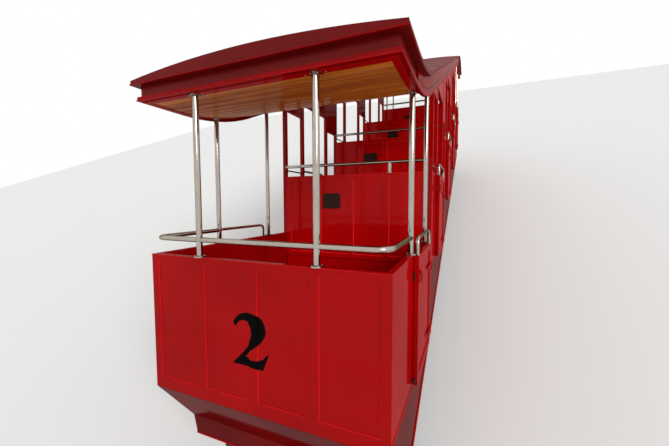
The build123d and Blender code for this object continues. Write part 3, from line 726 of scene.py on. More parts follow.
@dataclass(frozen=True)
class PlankFloor(Finish):
    """Worn floor planks along the car, with dark joints between them."""

    plank: float = 0.125

    def mix(self, r: Recipe) -> None:
        """Build the nodes of the planks.

        Args:
            r: Recipe to build them in.
        """
        across = r.add("ShaderNodeSeparateXYZ", {0: r.place}).outputs["X"]
        place = r.reckon("DIVIDE", across, self.plank)
        board = r.add("ShaderNodeTexWhiteNoise", {"W": r.reckon("FLOOR", place)},
                      noise_dimensions="1D").outputs["Value"]
        edge = r.reckon("ABSOLUTE", r.reckon("SUBTRACT", r.reckon("FRACT", place), 0.5))
        joint = r.ramp(edge, 0.475, 0.49)
        grain = r.noise(1.0, 5.0, (26.0, 1.4, 1.4), 0.8)
        share = r.reckon("ADD", r.times(grain, 0.7), r.times(board, 0.4))
        worn = r.ramp(r.noise(2.6, 5.0), 0.5, 0.72)
        wood = r.blend(share, self.colour, self.shade)
        wood = r.cover(wood, worn, 0.4, tinted(self.colour, 0.6, 0.12))
        wood = r.blend(joint, wood, tinted(self.shade, 0.12))
        normal = r.relief(joint, -0.003, r.relief(grain, 0.0008))
        r.shade(Base_Color=wood, Roughness=r.between(worn, 0.45, 0.7), Normal=normal)


@dataclass(frozen=True)
class DullPaint(Finish):
    """Matt paint or bare metal: mottled, dusty, with a grainy surface."""

    dust: Colour
    dusty: float = 0.35
    metallic: float = 0.0
    roughness: Pair = (0.45, 0.7)
    grain: float = 0.0002
    specular: float = 0.3

    def mix(self, r: Recipe) -> None:
        """Build the nodes of the paint.

        Args:
            r: Recipe to build them in.
        """
        dust = r.ramp(r.noise(7.0, 7.0), 0.5, 0.78)
        paint = r.cover(self.mottled(r, 3.4, 5.0), dust, self.dusty, self.dust)
        r.shade(Base_Color=paint, Metallic=self.metallic, Specular_IOR_Level=self.specular,
                Roughness=r.between(r.noise(14.0, 5.0), *self.roughness),
                Normal=r.relief(r.noise(170.0, 3.0), self.grain))


@dataclass(frozen=True)
class FloorTint(Finish):
    """The plain pale floor of the studio, faintly mottled."""

    def mix(self, r: Recipe) -> None:
        """Build the nodes of the floor.

        Args:
            r: Recipe to build them in.
        """
        pale = r.blend(r.noise(0.6, 3.0), self.colour, self.shade)
        r.shade(Base_Color=pale, Roughness=0.9, Specular_IOR_Level=0.1)


class Palette:
    """Every material of the car, made once."""

    def __init__(self) -> None:
        """Make the materials."""
        self.red = GlossPaint("red gloss", (0.36, 0.0012, 0.0016), (0.29, 0.0008, 0.0012)).make()
        # The body red lightened as painted light, for the bulkheads in the shade of the roof
        self.inner_red = GlossPaint("red gloss inside", (0.56, 0.0015, 0.002),
                                    (0.47, 0.001, 0.0015)).make()
        # The body red lightened as a painted highlight along the beads and mouldings
        self.edge_red = GlossPaint("red gloss on edges", (0.5, 0.005, 0.006),
                                   (0.41, 0.003, 0.004)).make()
        # The inside red lightened further as a painted highlight along the bulkheads' beads
        self.inner_edge = GlossPaint("red gloss on inner edges", (0.82, 0.012, 0.014),
                                     (0.7, 0.009, 0.01)).make()
        # The body red darkened as painted shade, for the skirts under the car
        self.skirt_red = GlossPaint("dark red gloss", (0.14, 0.0008, 0.001),
                                    (0.1, 0.0005, 0.0008)).make()
        # The body red darkened as painted shade, for the fascias, the band's drips and the cheek
        # wedges
        self.deep_red = GlossPaint("deep red gloss", (0.24, 0.001, 0.0013),
                                   (0.18, 0.0006, 0.001)).make()
        self.hinge = GlossPaint("painted hinges", (0.33, 0.002, 0.003), (0.25, 0.0015, 0.002),
                                (0.16, 0.14, 0.12), (0.3, 0.45)).make()
        self.black = GlossPaint("black enamel", (0.002, 0.0015, 0.0015), (0.001, 0.001, 0.001),
                                (0.02, 0.003, 0.003), coat=0.06).make()
        # Roof red darkened as painted shade; its chalk and streaks are weathering
        self.roof = RoofPaint("roof paint", (0.15, 0.001, 0.0014), (0.11, 0.0008, 0.001),
                              (0.19, 0.04, 0.034)).make()
        self.tube = PolishedTube("polished tube", (0.46, 0.41, 0.36), (0.37, 0.32, 0.28)).make()
        self.bolt = PolishedTube("bright bolts", (0.42, 0.38, 0.33), (0.32, 0.28, 0.24),
                                 (0.2, 0.35)).make()
        self.ceiling = VarnishedWood("varnished ceiling", (0.56, 0.16, 0.024),
                                     (0.26, 0.055, 0.008), has_tones=True).make()
        self.bench = VarnishedWood("varnished bench", (0.36, 0.14, 0.04),
                                   (0.17, 0.055, 0.014)).make()
        self.floor = PlankFloor("worn planks", (0.16, 0.085, 0.04), (0.07, 0.035, 0.016)).make()
        self.frame = DullPaint("frame paint", (0.03, 0.029, 0.028), (0.018, 0.017, 0.016),
                               (0.14, 0.115, 0.09), 0.4).make()
        self.wheel = DullPaint("wheel steel", (0.2, 0.18, 0.16), (0.11, 0.095, 0.08),
                               (0.16, 0.085, 0.045), 0.55, 0.8, (0.32, 0.6)).make()
        self.bar = DullPaint("bar paint", (0.12, 0.045, 0.02), (0.08, 0.03, 0.014),
                             (0.2, 0.12, 0.07), 0.25, 0.3, (0.25, 0.4), 0.00005).make()
        self.plaque = DullPaint("brown plaque", (0.03, 0.006, 0.003), (0.018, 0.004, 0.002),
                                (0.07, 0.02, 0.01), 0.35, 0.0, (0.35, 0.5), 0.00015, 0.15).make()
        # Black for the painted shadow in the roof's grooves
        self.rubber = DullPaint("black rubber", (0.016, 0.016, 0.016), (0.01, 0.01, 0.01),
                                (0.07, 0.06, 0.055), 0.3, 0.0, (0.55, 0.8)).make()


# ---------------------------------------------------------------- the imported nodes


@dataclass(frozen=True)
class NodeFinish:
    """Finish of a group of CAD nodes."""

    starts: tuple[str, ...]
    material: bpy.types.Material
    slot: Slot
    soften: float = 0.0


class PackedNodes:
    """Gives every CAD node its material and, where it has flat faces, soft edges."""

    def __init__(self, palette: Palette) -> None:
        """Keep the finish of each group of nodes.

        Args:
            palette: The materials.
        """
        p = palette
        self.groups = (
            NodeFinish(("lower_balcony_rails", "upper_balcony_rails", "bulkhead_rails",
                        "left_door_fittings", "right_door_fittings"), p.tube, Slot.TUBE),
            # Bulkheads in the red lightened as painted light
            NodeFinish(("bulkhead_",), p.inner_red, Slot.PAINT, 0.003),
            NodeFinish(("left_window_bars", "right_window_bars"), p.bar, Slot.BAR),
            NodeFinish(("left_door_hinges", "right_door_hinges"), p.hinge, Slot.HINGE),
            NodeFinish(("roof_",), p.roof, Slot.ROOF),
            NodeFinish(("ceiling",), p.ceiling, Slot.CEILING),
            NodeFinish(("benches",), p.bench, Slot.BENCH, 0.004),
            NodeFinish(("floors",), p.floor, Slot.FLOOR, 0.003),
            NodeFinish(("underframe", "rail_brake", "rope_anchor", "axle_boxes"), p.frame,
                       Slot.FRAME),
            NodeFinish(("lower_wheelset", "upper_wheelset"), p.wheel, Slot.WHEEL),
            # Skirts in the red darkened as painted shade
            NodeFinish(("lower_skirt", "left_skirt", "right_skirt"), p.skirt_red, Slot.PAINT),
            # Fascias in the red darkened as painted shade
            NodeFinish(("fascia_", "left_fascia", "right_fascia"), p.deep_red, Slot.PAINT),
            NodeFinish(("",), p.red, Slot.PAINT, 0.003),
        )

    def dress(self) -> None:
        """Dress every node and report it."""
        for name, node in frame["nodes"].items():
            group = next(g for g in self.groups if name.startswith(g.starts))
            node.data.materials.clear()
            node.data.materials.append(group.material)
            if group.soften:
                joined = node.modifiers.new("joined faces", "WELD")
                joined.merge_threshold = 0.00005
                soften_edges(node, group.soften)
            LOG.info("node %s in %s", name, group.material.name)


# ---------------------------------------------------------------- the car's lines


@dataclass(frozen=True)
class RoofLine:
    """The line that the ceiling follows: level, sloping and level again, with rounded bends."""

    slope: float
    height: float = 2.42
    lower_bend: float = 0.8
    upper_bend: float = 8.32
    radius: float = 2.5

    def shifted(self, shift: float) -> "RoofLine":
        """The same line, moved uphill."""
        return RoofLine(self.slope, self.height, self.lower_bend + shift, self.upper_bend + shift)

    def height_at(self, distance: float) -> float:
        """Height of the line over a level distance.

        Args:
            distance: The level distance.

        Returns:
            The height.
        """
        turn = math.atan(self.slope)
        inside = min(max(distance, self.lower_bend), self.upper_bend)
        height = self.height + self.slope * (inside - self.lower_bend)
        top = self.height + self.slope * (self.upper_bend - self.lower_bend)
        for bend, base, way in ((self.lower_bend, self.height, 1), (self.upper_bend, top, -1)):
            reach = self.radius * math.tan(turn / 2) + way * (distance - bend)
            if 0 < reach < self.radius * math.sin(turn):
                height = base + way * (self.radius - math.sqrt(self.radius ** 2 - reach ** 2))
        return height

    def spot(self, distance: float, step: float = 0.002) -> Station:
        """Find a point of the line.

        Args:
            distance: Level distance of the point.
            step: Half the length that the line's direction is measured over.

        Returns:
            The point and the upward direction there.
        """
        rise = self.height_at(distance + step) - self.height_at(distance - step)
        up = Vector((0, -rise, 2 * step)).normalized()
        return Vector((0, distance, self.height_at(distance))), up

    def stations(self, front: float, end: float, pitch: float, steps: int = 500) -> list[Station]:
        """Points along the line, each with the direction square to it.

        Args:
            front: Level distance where the line starts.
            end: Level distance where it ends.
            pitch: Distance along the line between points, at about which it is divided evenly.
            steps: Number of steps that it is measured in.

        Returns:
            Pairs of a point and the upward direction there.
        """
        places = [front + (end - front) * k / steps for k in range(steps + 1)]
        lengths = [0.0]
        for one, two in zip(places, places[1:]):
            rise = self.height_at(two) - self.height_at(one)
            lengths.append(lengths[-1] + math.hypot(two - one, rise))
        count = max(1, round(lengths[-1] / pitch))
        made, k = [], 0
        for step in range(count + 1):
            wanted = lengths[-1] * step / count
            while k < steps - 1 and lengths[k + 1] < wanted:
                k += 1
            share = (wanted - lengths[k]) / (lengths[k + 1] - lengths[k])
            made.append(self.spot(places[k] + share * (places[k + 1] - places[k])))
        return made


@dataclass(frozen=True)
class Floors:
    """Where the five floors lie, and the door opening of each."""

    slope: float
    lower_length: float = 2.12
    pitch: float = 1.88
    count: int = 5
    door_end: float = 0.46
    opening: float = 0.85
    guard: float = 1.14
    post: float = 0.06
    half: float = 1.05
    wall: float = 0.05
    pole_x: float = 0.525
    tube_x: float = 1.025
    rail_height: float = 1.28

    def wall_at(self, floor: int) -> float:
        """Level distance of the downhill wall of a floor."""
        return 0.0 if floor == 0 else self.lower_length + (floor - 1) * self.pitch

    def height(self, floor: int) -> float:
        """Height of a floor over the lowest one."""
        return floor * self.slope * self.pitch

    def door(self, floor: int) -> Pair:
        """Where a floor's door opening starts and ends."""
        end = self.wall_at(floor + 1) - self.door_end
        return end - self.opening, end

    @property
    def length(self) -> float:
        """Length of the body."""
        return self.wall_at(self.count)

    def sole(self, distance: float) -> float:
        """Height of the body's sloping lower edge."""
        return self.slope * (distance - self.lower_length) - self.wall


@dataclass
class Assembly:
    """A sub-assembly of the car, and what every one of them is drawn from."""

    level: LevelFrame
    palette: Palette
    line: RoofLine
    floors: Floors

    def shape(self) -> Shape:
        """An empty shape in the level frame."""
        return Shape(self.level)

    def build(self) -> None:
        """Build the pieces."""
        raise NotImplementedError


# ---------------------------------------------------------------- aprons


@dataclass
class Apron(Assembly):
    """The beads in an apron's panels, and its top moulding, lightened as painted highlight."""

    node: str
    number: int = 0
    end: End = End.LOWER
    inside: bool = False
    stile: float = 0.07
    rail: float = 0.06
    batten: float = 0.07
    panels: int = 4
    depth: float = 0.012
    bead: float = 0.009
    top_bead: float = 0.004

    @property
    def floor(self) -> float:
        """Height of the apron's floor."""
        return self.floors.height(self.number)

    @property
    def front(self) -> float:
        """Distance uphill of the outer face of the frame."""
        low, high = self.level.extent(self.node)
        return low.y if self.end is End.LOWER else high.y

    @property
    def face(self) -> float:
        """Distance uphill of the panels' own face."""
        return self.front - self.end.value * self.depth

    def build(self) -> None:
        """Build the beads and the top moulding."""
        shape = self.shape()
        low, high = self.level.extent(self.node)
        front, face, top = self.front, self.face, self.floor + self.floors.guard
        crest = [Vector((x, front, top - self.top_bead)) for x in (low.x, high.x)]
        shape.moulding([(p, self.end.out, UP) for p in crest], half_round(self.top_bead))
        inside = high.x - low.x - 2 * self.stile
        wide = (inside - (self.panels - 1) * self.batten) / self.panels
        for k in range(self.panels):
            start = low.x + self.stile + k * (wide + self.batten)
            shape.bead((start, face, self.floor + self.rail), (start + wide, face, top - self.rail),
                       self.end.out, self.bead)
        # Beads and top moulding in a red lightened as painted highlight
        paint = self.palette.inner_edge if self.inside else self.palette.edge_red
        shape.finish(f"{self.node}_beads", paint, Slot.PAINT)


@dataclass
class Numeral(Assembly):
    """The car's painted number, which lies over the middle batten of the lower apron."""

    apron: Apron
    film: float = 0.0012
    shift: Pair = (-0.016, -0.018)
    # Steps from the batten over its bead to the panel, as distance from the batten and depth
    steps: tuple[Pair, ...] = ((0.0, 0.0), (0.0008, 0.003), (0.0045, 0.0042), (0.0078, 0.0075),
                               (0.0095, 0.012))
    # Outline of an old-style two, as x and height, and the points where it has a corner
    outline: tuple[Pair, ...] = (
        (-0.152, 0.652), (-0.171, 0.684), (-0.117, 0.744), (-0.038, 0.768), (0.030, 0.762),
        (0.092, 0.728), (0.122, 0.665), (0.118, 0.606), (0.066, 0.537), (-0.006, 0.482),
        (-0.060, 0.430), (-0.022, 0.412), (0.050, 0.411), (0.098, 0.430), (0.136, 0.471),
        (0.147, 0.461), (0.120, 0.399), (0.098, 0.341), (-0.010, 0.351), (-0.187, 0.353),
        (-0.100, 0.438), (-0.036, 0.509), (-0.006, 0.575), (0.002, 0.624), (-0.009, 0.668),
        (-0.041, 0.699), (-0.085, 0.704), (-0.125, 0.686), (-0.140, 0.662),
    )
    corners: tuple[int, ...] = (10, 14, 15, 17, 19)

    def rounded(self, steps: int = 6) -> list[Vector]:
        """Round the outline, except at its corners.

        Args:
            steps: Number of steps between two points of the outline.

        Returns:
            The points of the rounded outline.
        """
        points = [Vector(p) for p in self.outline]
        count = len(points)
        made = []
        for k in range(count):
            before, one, two, after = (points[(k + i) % count] for i in (-1, 0, 1, 2))
            if k in self.corners:
                before = one * 2 - two
            if (k + 1) % count in self.corners:
                after = two * 2 - one
            for t in (s / steps for s in range(steps)):
                made.append(0.5 * (2 * one + (two - before) * t
                                   + (2 * before - 5 * one + 4 * two - after) * t ** 2
                                   + (3 * one - before - 3 * two + after) * t ** 3))
        return made

    def depth_at(self, x: float) -> float:
        """Find how deep the apron's surface lies.

        Args:
            x: Place across the apron.

        Returns:
            Distance uphill of the surface there.
        """
        place = abs(x) - self.apron.batten / 2
        if place <= 0.0:
            return 0.0
        for (near, high), (far, low) in zip(self.steps, self.steps[1:]):
            if place <= far:
                return high + (low - high) * (place - near) / (far - near)
        return self.apron.depth

    def build(self) -> None:
        """Build the numeral as a film that steps over the batten."""
        shape = self.shape()
        mesh = shape.mesh
        across, up = self.shift
        flat = [mesh.verts.new((p.x + across, 0.0, p.y + up)) for p in self.rounded()]
        mesh.faces.new(flat).normal_update()
        bmesh.ops.triangulate(mesh, faces=mesh.faces[:])
        half = self.apron.batten / 2
        for x in [way * (half + step) for step, _ in self.steps for way in (-1, 1)]:
            bmesh.ops.bisect_plane(mesh, geom=mesh.verts[:] + mesh.edges[:] + mesh.faces[:],
                                   plane_co=(x, 0, 0), plane_no=(1, 0, 0))
        bmesh.ops.triangulate(mesh, faces=mesh.faces[:])
        made = bmesh.ops.extrude_face_region(mesh, geom=mesh.faces[:])
        front = {v for v in made["geom"] if isinstance(v, bmesh.types.BMVert)}
        for vertex in mesh.verts:
            lift = -self.film if vertex in front else self.film
            vertex.co.y = self.depth_at(vertex.co.x) + lift
        shape.finish("numeral", self.palette.black)


@dataclass
class Plaque(Assembly):
    """A blank plaque on a bulkhead, held by four screws."""

    apron: Apron
    x: float = -0.285
    height: float = 0.785
    size: Pair = (0.265, 0.21)
    corner: float = 0.016
    thick: float = 0.005
    rim: float = 0.008
    screw_inset: float = 0.019
    screw: Pair = (0.0045, 0.0026)

    def spot(self, sx: int, sz: int, inset: float) -> Pair:
        """Point inset from one of the plaque's corners, which two signs name."""
        return (self.x + sx * (self.size[0] / 2 - inset),
                self.apron.floor + self.height + sz * (self.size[1] / 2 - inset))

    def outline(self, inset: float) -> list[Pair]:
        """Draw a rounded rectangle inside the plaque.

        Args:
            inset: Margin inside the plaque's edge.

        Returns:
            Its points, as x and height.
        """
        radius = max(self.corner - inset, 0.002)
        points = []
        for sx, sz, start in ((1, 1, 0), (-1, 1, 90), (-1, -1, 180), (1, -1, 270)):
            x, z = self.spot(sx, sz, inset + radius)
            points += [(x + a, z + b) for a, b in circle(radius, 20, start)[:6]]
        return points

    def build(self) -> None:
        """Build the plate with its raised rim, and its screws."""
        shape, screws = self.shape(), self.shape()
        face, rim = self.apron.face, self.thick + 0.001
        steps = ((0.0, 0.0), (0.0, self.thick), (0.001, rim), (self.rim, rim),
                 (self.rim + 0.001, self.thick - 0.0005))
        shape.loft([[(x, face - proud, z) for x, z in self.outline(inset)]
                    for inset, proud in steps])
        shape.finish(f"{self.apron.node}_plaque", self.palette.plaque)
        spots = [self.spot(sx, sz, self.screw_inset) for sx in (-1, 1) for sz in (-1, 1)]
        screws.domes([Vector((x, face - self.thick + SUNK, z)) for x, z in spots], End.LOWER.out,
                     *self.screw)
        screws.finish(f"{self.apron.node}_plaque_screws", self.palette.bolt)


# ---------------------------------------------------------------- ceiling and roof


@dataclass
class Ceiling(Assembly):
    """Varnished boards across the car, in a red border that follows the roof line."""

    half: float = 1.071
    overhang: float = 0.011
    border: float = 0.048
    end_border: float = 0.055
    drop: float = 0.006
    board: float = 0.095
    gap: float = 0.0045
    chamfer: float = 0.008
    backing: float = 0.014
    thick: float = 0.0345

    def build(self) -> None:
        """Build the boards, which stand for the CAD ceiling, their backing and the border."""
        front, end = -self.overhang, self.floors.length + self.overhang
        inner = self.half - self.border
        stations = self.line.stations(front + self.end_border, end - self.end_border, self.board)
        boards = self.shape()
        for k, ((one, up1), (two, up2)) in enumerate(zip(stations, stations[1:])):
            way = (two - one).normalized()
            first, last = one + way * self.gap, two - way * self.gap
            section = (first + up1 * self.thick, first + up1 * self.chamfer,
                       first + way * self.chamfer, last - way * self.chamfer,
                       last + up2 * self.chamfer, last + up2 * self.thick)
            # Boards take their tones from this row in turn, so that no two neighbours match
            tone = (((k * 37) % 19) / 19 - 0.5) * 0.6
            boards.loft([[p + ACROSS * x for p in section] for x in (-inner, inner)], tone=tone)
        boards.finish("ceiling_boards", self.palette.ceiling, Slot.CEILING, replaces=["ceiling"])

        backing = self.shape()
        backing.moulding([(p, ACROSS, up) for p, up in stations],
                         [(-inner, self.backing), (inner, self.backing), (inner, self.thick),
                          (-inner, self.thick)])
        backing.finish("ceiling_backing", self.palette.bar, Slot.CEILING)

        border = self.shape()
        for side in Side:
            border.moulding([(p, side.out, up) for p, up in self.line.stations(front, end, 0.12)],
                            [(self.half, -self.drop), (inner, -self.drop), (inner, self.thick),
                             (self.half, self.thick)])
        for place, way in ((front, 1), (end, -1)):
            base, _ = self.line.spot(place)
            border.block((-inner, base.y, base.z - self.drop),
                         (inner, base.y + way * self.end_border, base.z + self.thick))
        border.finish("ceiling_border", self.palette.red, Slot.PAINT, soften=0.002)


@dataclass
class RoofTrim(Assembly):
    """Roof trims: band, arched top, lip under the fascia boards, painted shadow in the grooves."""

    ends_half: float = 1.14
    slope_half: float = 1.12
    front: float = 0.065
    joint: float = 0.5
    band_foot: float = 0.125
    band_edge: float = 0.165
    crown: float = 0.238
    drip: float = 0.007
    fascia_half: float = 1.1
    fascia_front: float = 0.04
    board_shift: float = 0.13
    lip_bead: float = 0.006
    seam_pitch: float = 0.93
    end_seams: Pair = (0.52, 0.6)
    seam: Pair = (0.016, 0.004)
    cover: Pair = (0.04, 0.005)
    screw: Pair = (0.0055, 0.003)
    screw_pitch: float = 0.27
    end_screw: float = 0.028
    ceiling_top: float = 0.035
    groove: float = 0.024
    cheek_joint: float = 0.4
    cheek_reach: float = 0.18
    cheek_foot: float = 0.022
    cheek_thick: float = 0.006
    # How far the wedges stay inside the faces beside them, on the cheek and at their foot
    cheek_lap: Pair = (0.0005, 0.0002)
    # Width and stand-out of the black strips painted as the grooves' shadow
    seal: Pair = (0.012, 0.0025)
    # Where the rows of screws stop: short of the body's end, and of a joint on its two sides
    screw_margins: Point = (0.03, 0.06, 0.08)

    @property
    def joints(self) -> Pair:
        """Level distances where the roof of each end meets the roof of the slope."""
        return self.line.lower_bend + self.joint, self.line.upper_bend - self.joint

    def end_of(self, end: End, reach: float) -> float:
        """Level distance of a place that reaches out past an end of the body."""
        return -reach if end is End.LOWER else self.floors.length + reach

    def arch(self, x: float, half: float) -> float:
        """Find the height of the arched top over the ceiling's line.

        Args:
            x: Place across the roof.
            half: Half the width of the roof there.

        Returns:
            The height.
        """
        rise = self.crown - self.band_edge
        radius = (half * half + rise * rise) / (2 * rise)
        return self.crown - radius + math.sqrt(radius * radius - x * x)

    def end_path(self, end: End, inner: float, lift: float) -> list[Guide]:
        """Lay a path round one end of the roof, from one side over the front to the other.

        Args:
            end: The end.
            inner: Level distance on the sides where it starts and ends.
            lift: Height over the ceiling's line.

        Returns:
            Points, each with its outward and its upward direction.
        """
        place = self.end_of(end, self.front)
        points = self.line.stations(inner, place, 0.08)
        path = []
        for side, run in ((Side.LEFT, points), (Side.RIGHT, points[::-1])):
            for point, up in run:
                out = side.out + end.out if abs(point.y - place) < SUNK else side.out
                path.append((point + up * lift + side.out * self.ends_half, out, up))
        return path

    def side_path(self, side: Side, half: float, lift: float, run: Pair) -> list[Guide]:
        """Path along one side of the slope, at a height over the ceiling's line."""
        return [(p + side.out * half + up * lift, side.out, up)
                for p, up in self.line.stations(*run, 0.25)]

    def drips(self) -> None:
        """Build the half-round mouldings along the foot of the band, darkened as painted shade."""
        lift, section = self.band_foot + self.drip, half_round(self.drip)
        for end, inner in zip(End, self.joints):
            shape = self.shape()
            shape.moulding(self.end_path(end, inner, lift), section)
            shape.finish(f"roof_{end.word}_drip", self.palette.deep_red, Slot.ROOF)
        shape = self.shape()
        lower, upper = self.joints
        for side in Side:
            run = (lower + 0.02, upper - 0.02)
            shape.moulding(self.side_path(side, self.slope_half, lift, run), section)
        shape.finish("roof_slope_drips", self.palette.deep_red, Slot.ROOF)

    def seams(self) -> None:
        """Build the seams over the arched top, and a wider cover over each joint of the roof."""
        shape = self.shape()
        lower, upper = self.joints
        count = round((upper - lower) / self.seam_pitch)
        between = [lower + (upper - lower) * k / count for k in range(1, count)]
        ends = (self.end_seams[0], self.floors.length - self.end_seams[1])
        places = [(d, self.cover, self.slope_half) for d in self.joints]
        places += [(d, self.seam, self.slope_half) for d in between]
        places += [(d, self.seam, self.ends_half) for d in ends]
        for distance, (wide, tall), half in places:
            point, up = self.line.spot(distance)
            along = Vector((0, up.z, -up.y))
            path = []
            for x in (half * k / 16 for k in range(-16, 17)):
                path.append((point + ACROSS * x + up * self.arch(x, half), along, up))
            shape.moulding(path, [(-wide, -0.002), (-wide, tall * 0.5), (-wide * 0.7, tall),
                                  (wide * 0.7, tall), (wide, tall * 0.5), (wide, -0.002)])
        shape.finish("roof_seams", self.palette.roof, Slot.ROOF)

    def screws(self) -> None:
        """Build the screw heads along the band, on its sides and its ends."""
        shape = self.shape()
        lift = (self.band_foot + 2 * self.drip + self.band_edge) / 2
        lower, upper = self.joints
        outer, level, slope = self.screw_margins
        runs = ((self.ends_half, (outer, lower - level)),
                (self.slope_half, (lower + slope, upper - slope)),
                (self.ends_half, (upper + level, self.floors.length - outer)))
        for side in Side:
            for half, run in runs:
                spots = [p + side.out * half + up * lift
                         for p, up in self.line.stations(*run, self.screw_pitch)]
                shape.domes(spots, side.out, *self.screw)
        for end in End:
            point, up = self.line.spot(self.end_of(end, self.front))
            lifted = point + up * (self.band_foot + self.end_screw)
            spots = [lifted + ACROSS * x / 10 for x in range(-9, 10, 3)]
            shape.domes(spots, end.out, *self.screw)
        shape.finish("roof_screws", self.palette.plaque)

    def cheeks(self) -> None:
        """Build the wedges at the bends, where the cheek widens to the plate on the slope."""
        shape = self.shape()
        low, top, half = self.ceiling_top, self.band_foot, self.fascia_half
        inner, (lap, edge) = half - self.cheek_thick, self.cheek_lap
        for side in Side:
            for bend, way in ((self.line.lower_bend, 1), (self.line.upper_bend, -1)):
                thin, wide = bend - way * self.cheek_reach, bend + way * self.cheek_joint
                rings = []
                for point, up in self.line.stations(thin, wide, 0.05):
                    share = (point.y - thin) / (wide - thin)
                    outer = half - lap + share * (self.slope_half - half)
                    foot = low - self.cheek_foot * share
                    section = ((inner, foot), (half + edge, foot), (outer, low), (outer, top),
                               (inner, top))
                    rings.append([point + side.out * x + up * lift for x, lift in section])
                shape.loft(rings)
        # Wedges in the red darkened as painted shade
        shape.finish("roof_cheek_wedges", self.palette.deep_red, Slot.PAINT)

    def seals(self) -> None:
        """Build black strips in the slope's grooves over the boards, as painted shadow."""
        shape = self.shape()
        inset = self.cheek_joint + 0.01
        run = (self.line.lower_bend + inset, self.line.upper_bend - inset)
        low, top = self.ceiling_top - self.groove, self.ceiling_top + 0.0005
        inner, outer = -self.seal[0], self.seal[1]
        for side in Side:
            shape.moulding(self.side_path(side, self.fascia_half, 0.0, run),
                           [(inner, low), (outer, low), (outer, top), (inner, top)])
        shape.finish("roof_groove_seals", self.palette.rubber)

    def lip(self) -> None:
        """Build the lip that runs round the car under its fascia boards."""
        ends = {self.end_of(end, self.fascia_front): end.out for end in End}
        points = self.line.shifted(self.board_shift).stations(*ends, 0.08)
        path = []
        for side, run in ((Side.LEFT, points[::-1]), (Side.RIGHT, points)):
            for point, up in run:
                corner = sum((out for place, out in ends.items() if abs(point.y - place) < SUNK),
                             Vector((0, 0, 0)))
                path.append((point + side.out * self.fascia_half, side.out + corner, up))
        section = [(a, b + self.lip_bead) for a, b in half_round(self.lip_bead, 0.004)]
        shape = self.shape()
        shape.moulding(path, section, closed=True)
        shape.finish("fascia_lip", self.palette.red, Slot.PAINT)

    def build(self) -> None:
        """Build every trim of the roof."""
        for trim in (self.drips, self.seams, self.screws, self.cheeks, self.seals, self.lip):
            trim()


# ---------------------------------------------------------------- sides of the body


@dataclass
class BodySides(Assembly):
    """Mouldings on the sides: panel feet, post strips, the skirt's lip, sills and stops."""

    bead: float = 0.006
    inset: float = 0.02
    strip: Pair = (0.03, 0.004)
    lip: float = 0.011
    skirt_start: float = 0.47
    skirt_front: float = 0.43
    sill: float = 0.003
    sill_ribs: int = 5
    sill_inset: float = 0.012
    stop_inset: float = 0.036
    stop_width: float = 0.03
    # Keeper of the latch and stop at the foot, each as its foot, its top and how far it stands out
    stop_sizes: tuple[Point, ...] = ((0.925, 0.995, 0.016), (0.05, 0.085, 0.03))

    def panels(self) -> None:
        """Build the moulding along the foot of each waist panel."""
        f = self.floors
        for side in Side:
            shape = self.shape()
            for n in range(f.count):
                start, end = f.door(n)
                first = f.wall if n == 0 else f.wall_at(n) + f.post
                last = f.wall_at(n + 1) if n < f.count - 1 else f.length - f.wall
                for bay in ((first, start - f.post), (end + f.post, last)):
                    foot = f.height(n) + self.inset
                    places = [Vector((side.value * f.half, d, foot)) for d in bay]
                    shape.moulding([(p, side.out, UP) for p in places], half_round(self.bead))
            # Mouldings in the red lightened as painted highlight
            shape.finish(f"{side.word}_panel_mouldings", self.palette.edge_red, Slot.PAINT)

    def posts(self) -> None:
        """Build the strips on the outer face of the posts, from the guard to the fascia."""
        f = self.floors
        wide, thick = self.strip
        for side in Side:
            shape = self.shape()
            for n in range(1, f.count):
                start, end = f.door(n)
                posts = (f.wall_at(n), start - f.post, end) if n < f.count - 1 else (f.wall_at(n),)
                for middle in (post + f.post / 2 for post in posts):
                    top = self.line.height_at(middle - wide) - 0.002
                    shape.block((side.value * (f.half - SUNK), middle - wide / 2,
                                 f.height(n) + f.guard + 0.01),
                                (side.value * (f.half + thick), middle + wide / 2, top))
            shape.finish(f"{side.word}_post_strips", self.palette.red, Slot.PAINT, soften=0.0015)

    def skirt_lip(self) -> None:
        """Build the half-round lip along the lower edge of the skirts."""
        f = self.floors
        shape = self.shape()
        section = half_round(self.lip)
        square = Vector((0, -self.level.slope, 1)).normalized()
        for side in Side:
            run = (self.skirt_start, f.length / 2, f.length)
            places = [Vector((side.value * f.half, d, f.sole(d))) + square * self.lip for d in run]
            shape.moulding([(p, side.out, square) for p in places], section)
        base = Vector((0, self.skirt_front, f.sole(self.skirt_front) + self.lip))
        shape.moulding([(base + ACROSS * x, End.LOWER.out, UP) for x in (-f.half, 0.0, f.half)],
                       section)
        shape.finish("skirt_lip", self.palette.red, Slot.PAINT)

    def sills(self) -> None:
        """Build a ribbed bright strip in every doorway."""
        f = self.floors
        shape = self.shape()
        inner, wide, low = f.half - f.wall, f.wall / self.sill_ribs, self.sill * 0.55
        outline = []
        for x in (inner + k * wide for k in range(self.sill_ribs)):
            outline += [(x, low), (x + wide * 0.25, self.sill), (x + wide * 0.75, self.sill)]
        outline += [(f.half, low), (f.half, -SUNK), (inner, -SUNK)]
        for side in Side:
            for n in range(f.count):
                start, end = f.door(n)
                shape.loft([[(side.value * x, d, f.height(n) + z) for x, z in outline]
                            for d in (start + self.sill_inset, end - self.sill_inset)])
        shape.finish("door_sills", self.palette.bolt)

    def stops(self) -> None:
        """Build the keeper of each latch and the stop at the foot of each door."""
        f = self.floors
        shape = self.shape()
        for side in Side:
            for n in range(f.count):
                end, base = f.door(n)[0] - self.stop_inset, f.height(n)
                for low, high, thick in self.stop_sizes:
                    shape.block((side.value * (f.half - SUNK), end - self.stop_width, base + low),
                                (side.value * (f.half + thick), end, base + high))
        shape.finish("door_stops", self.palette.plaque, soften=0.003)

    def build(self) -> None:
        """Build everything on the sides."""
        for part in (self.panels, self.posts, self.skirt_lip, self.sills, self.stops):
            part()


# ---------------------------------------------------------------- tubes and benches


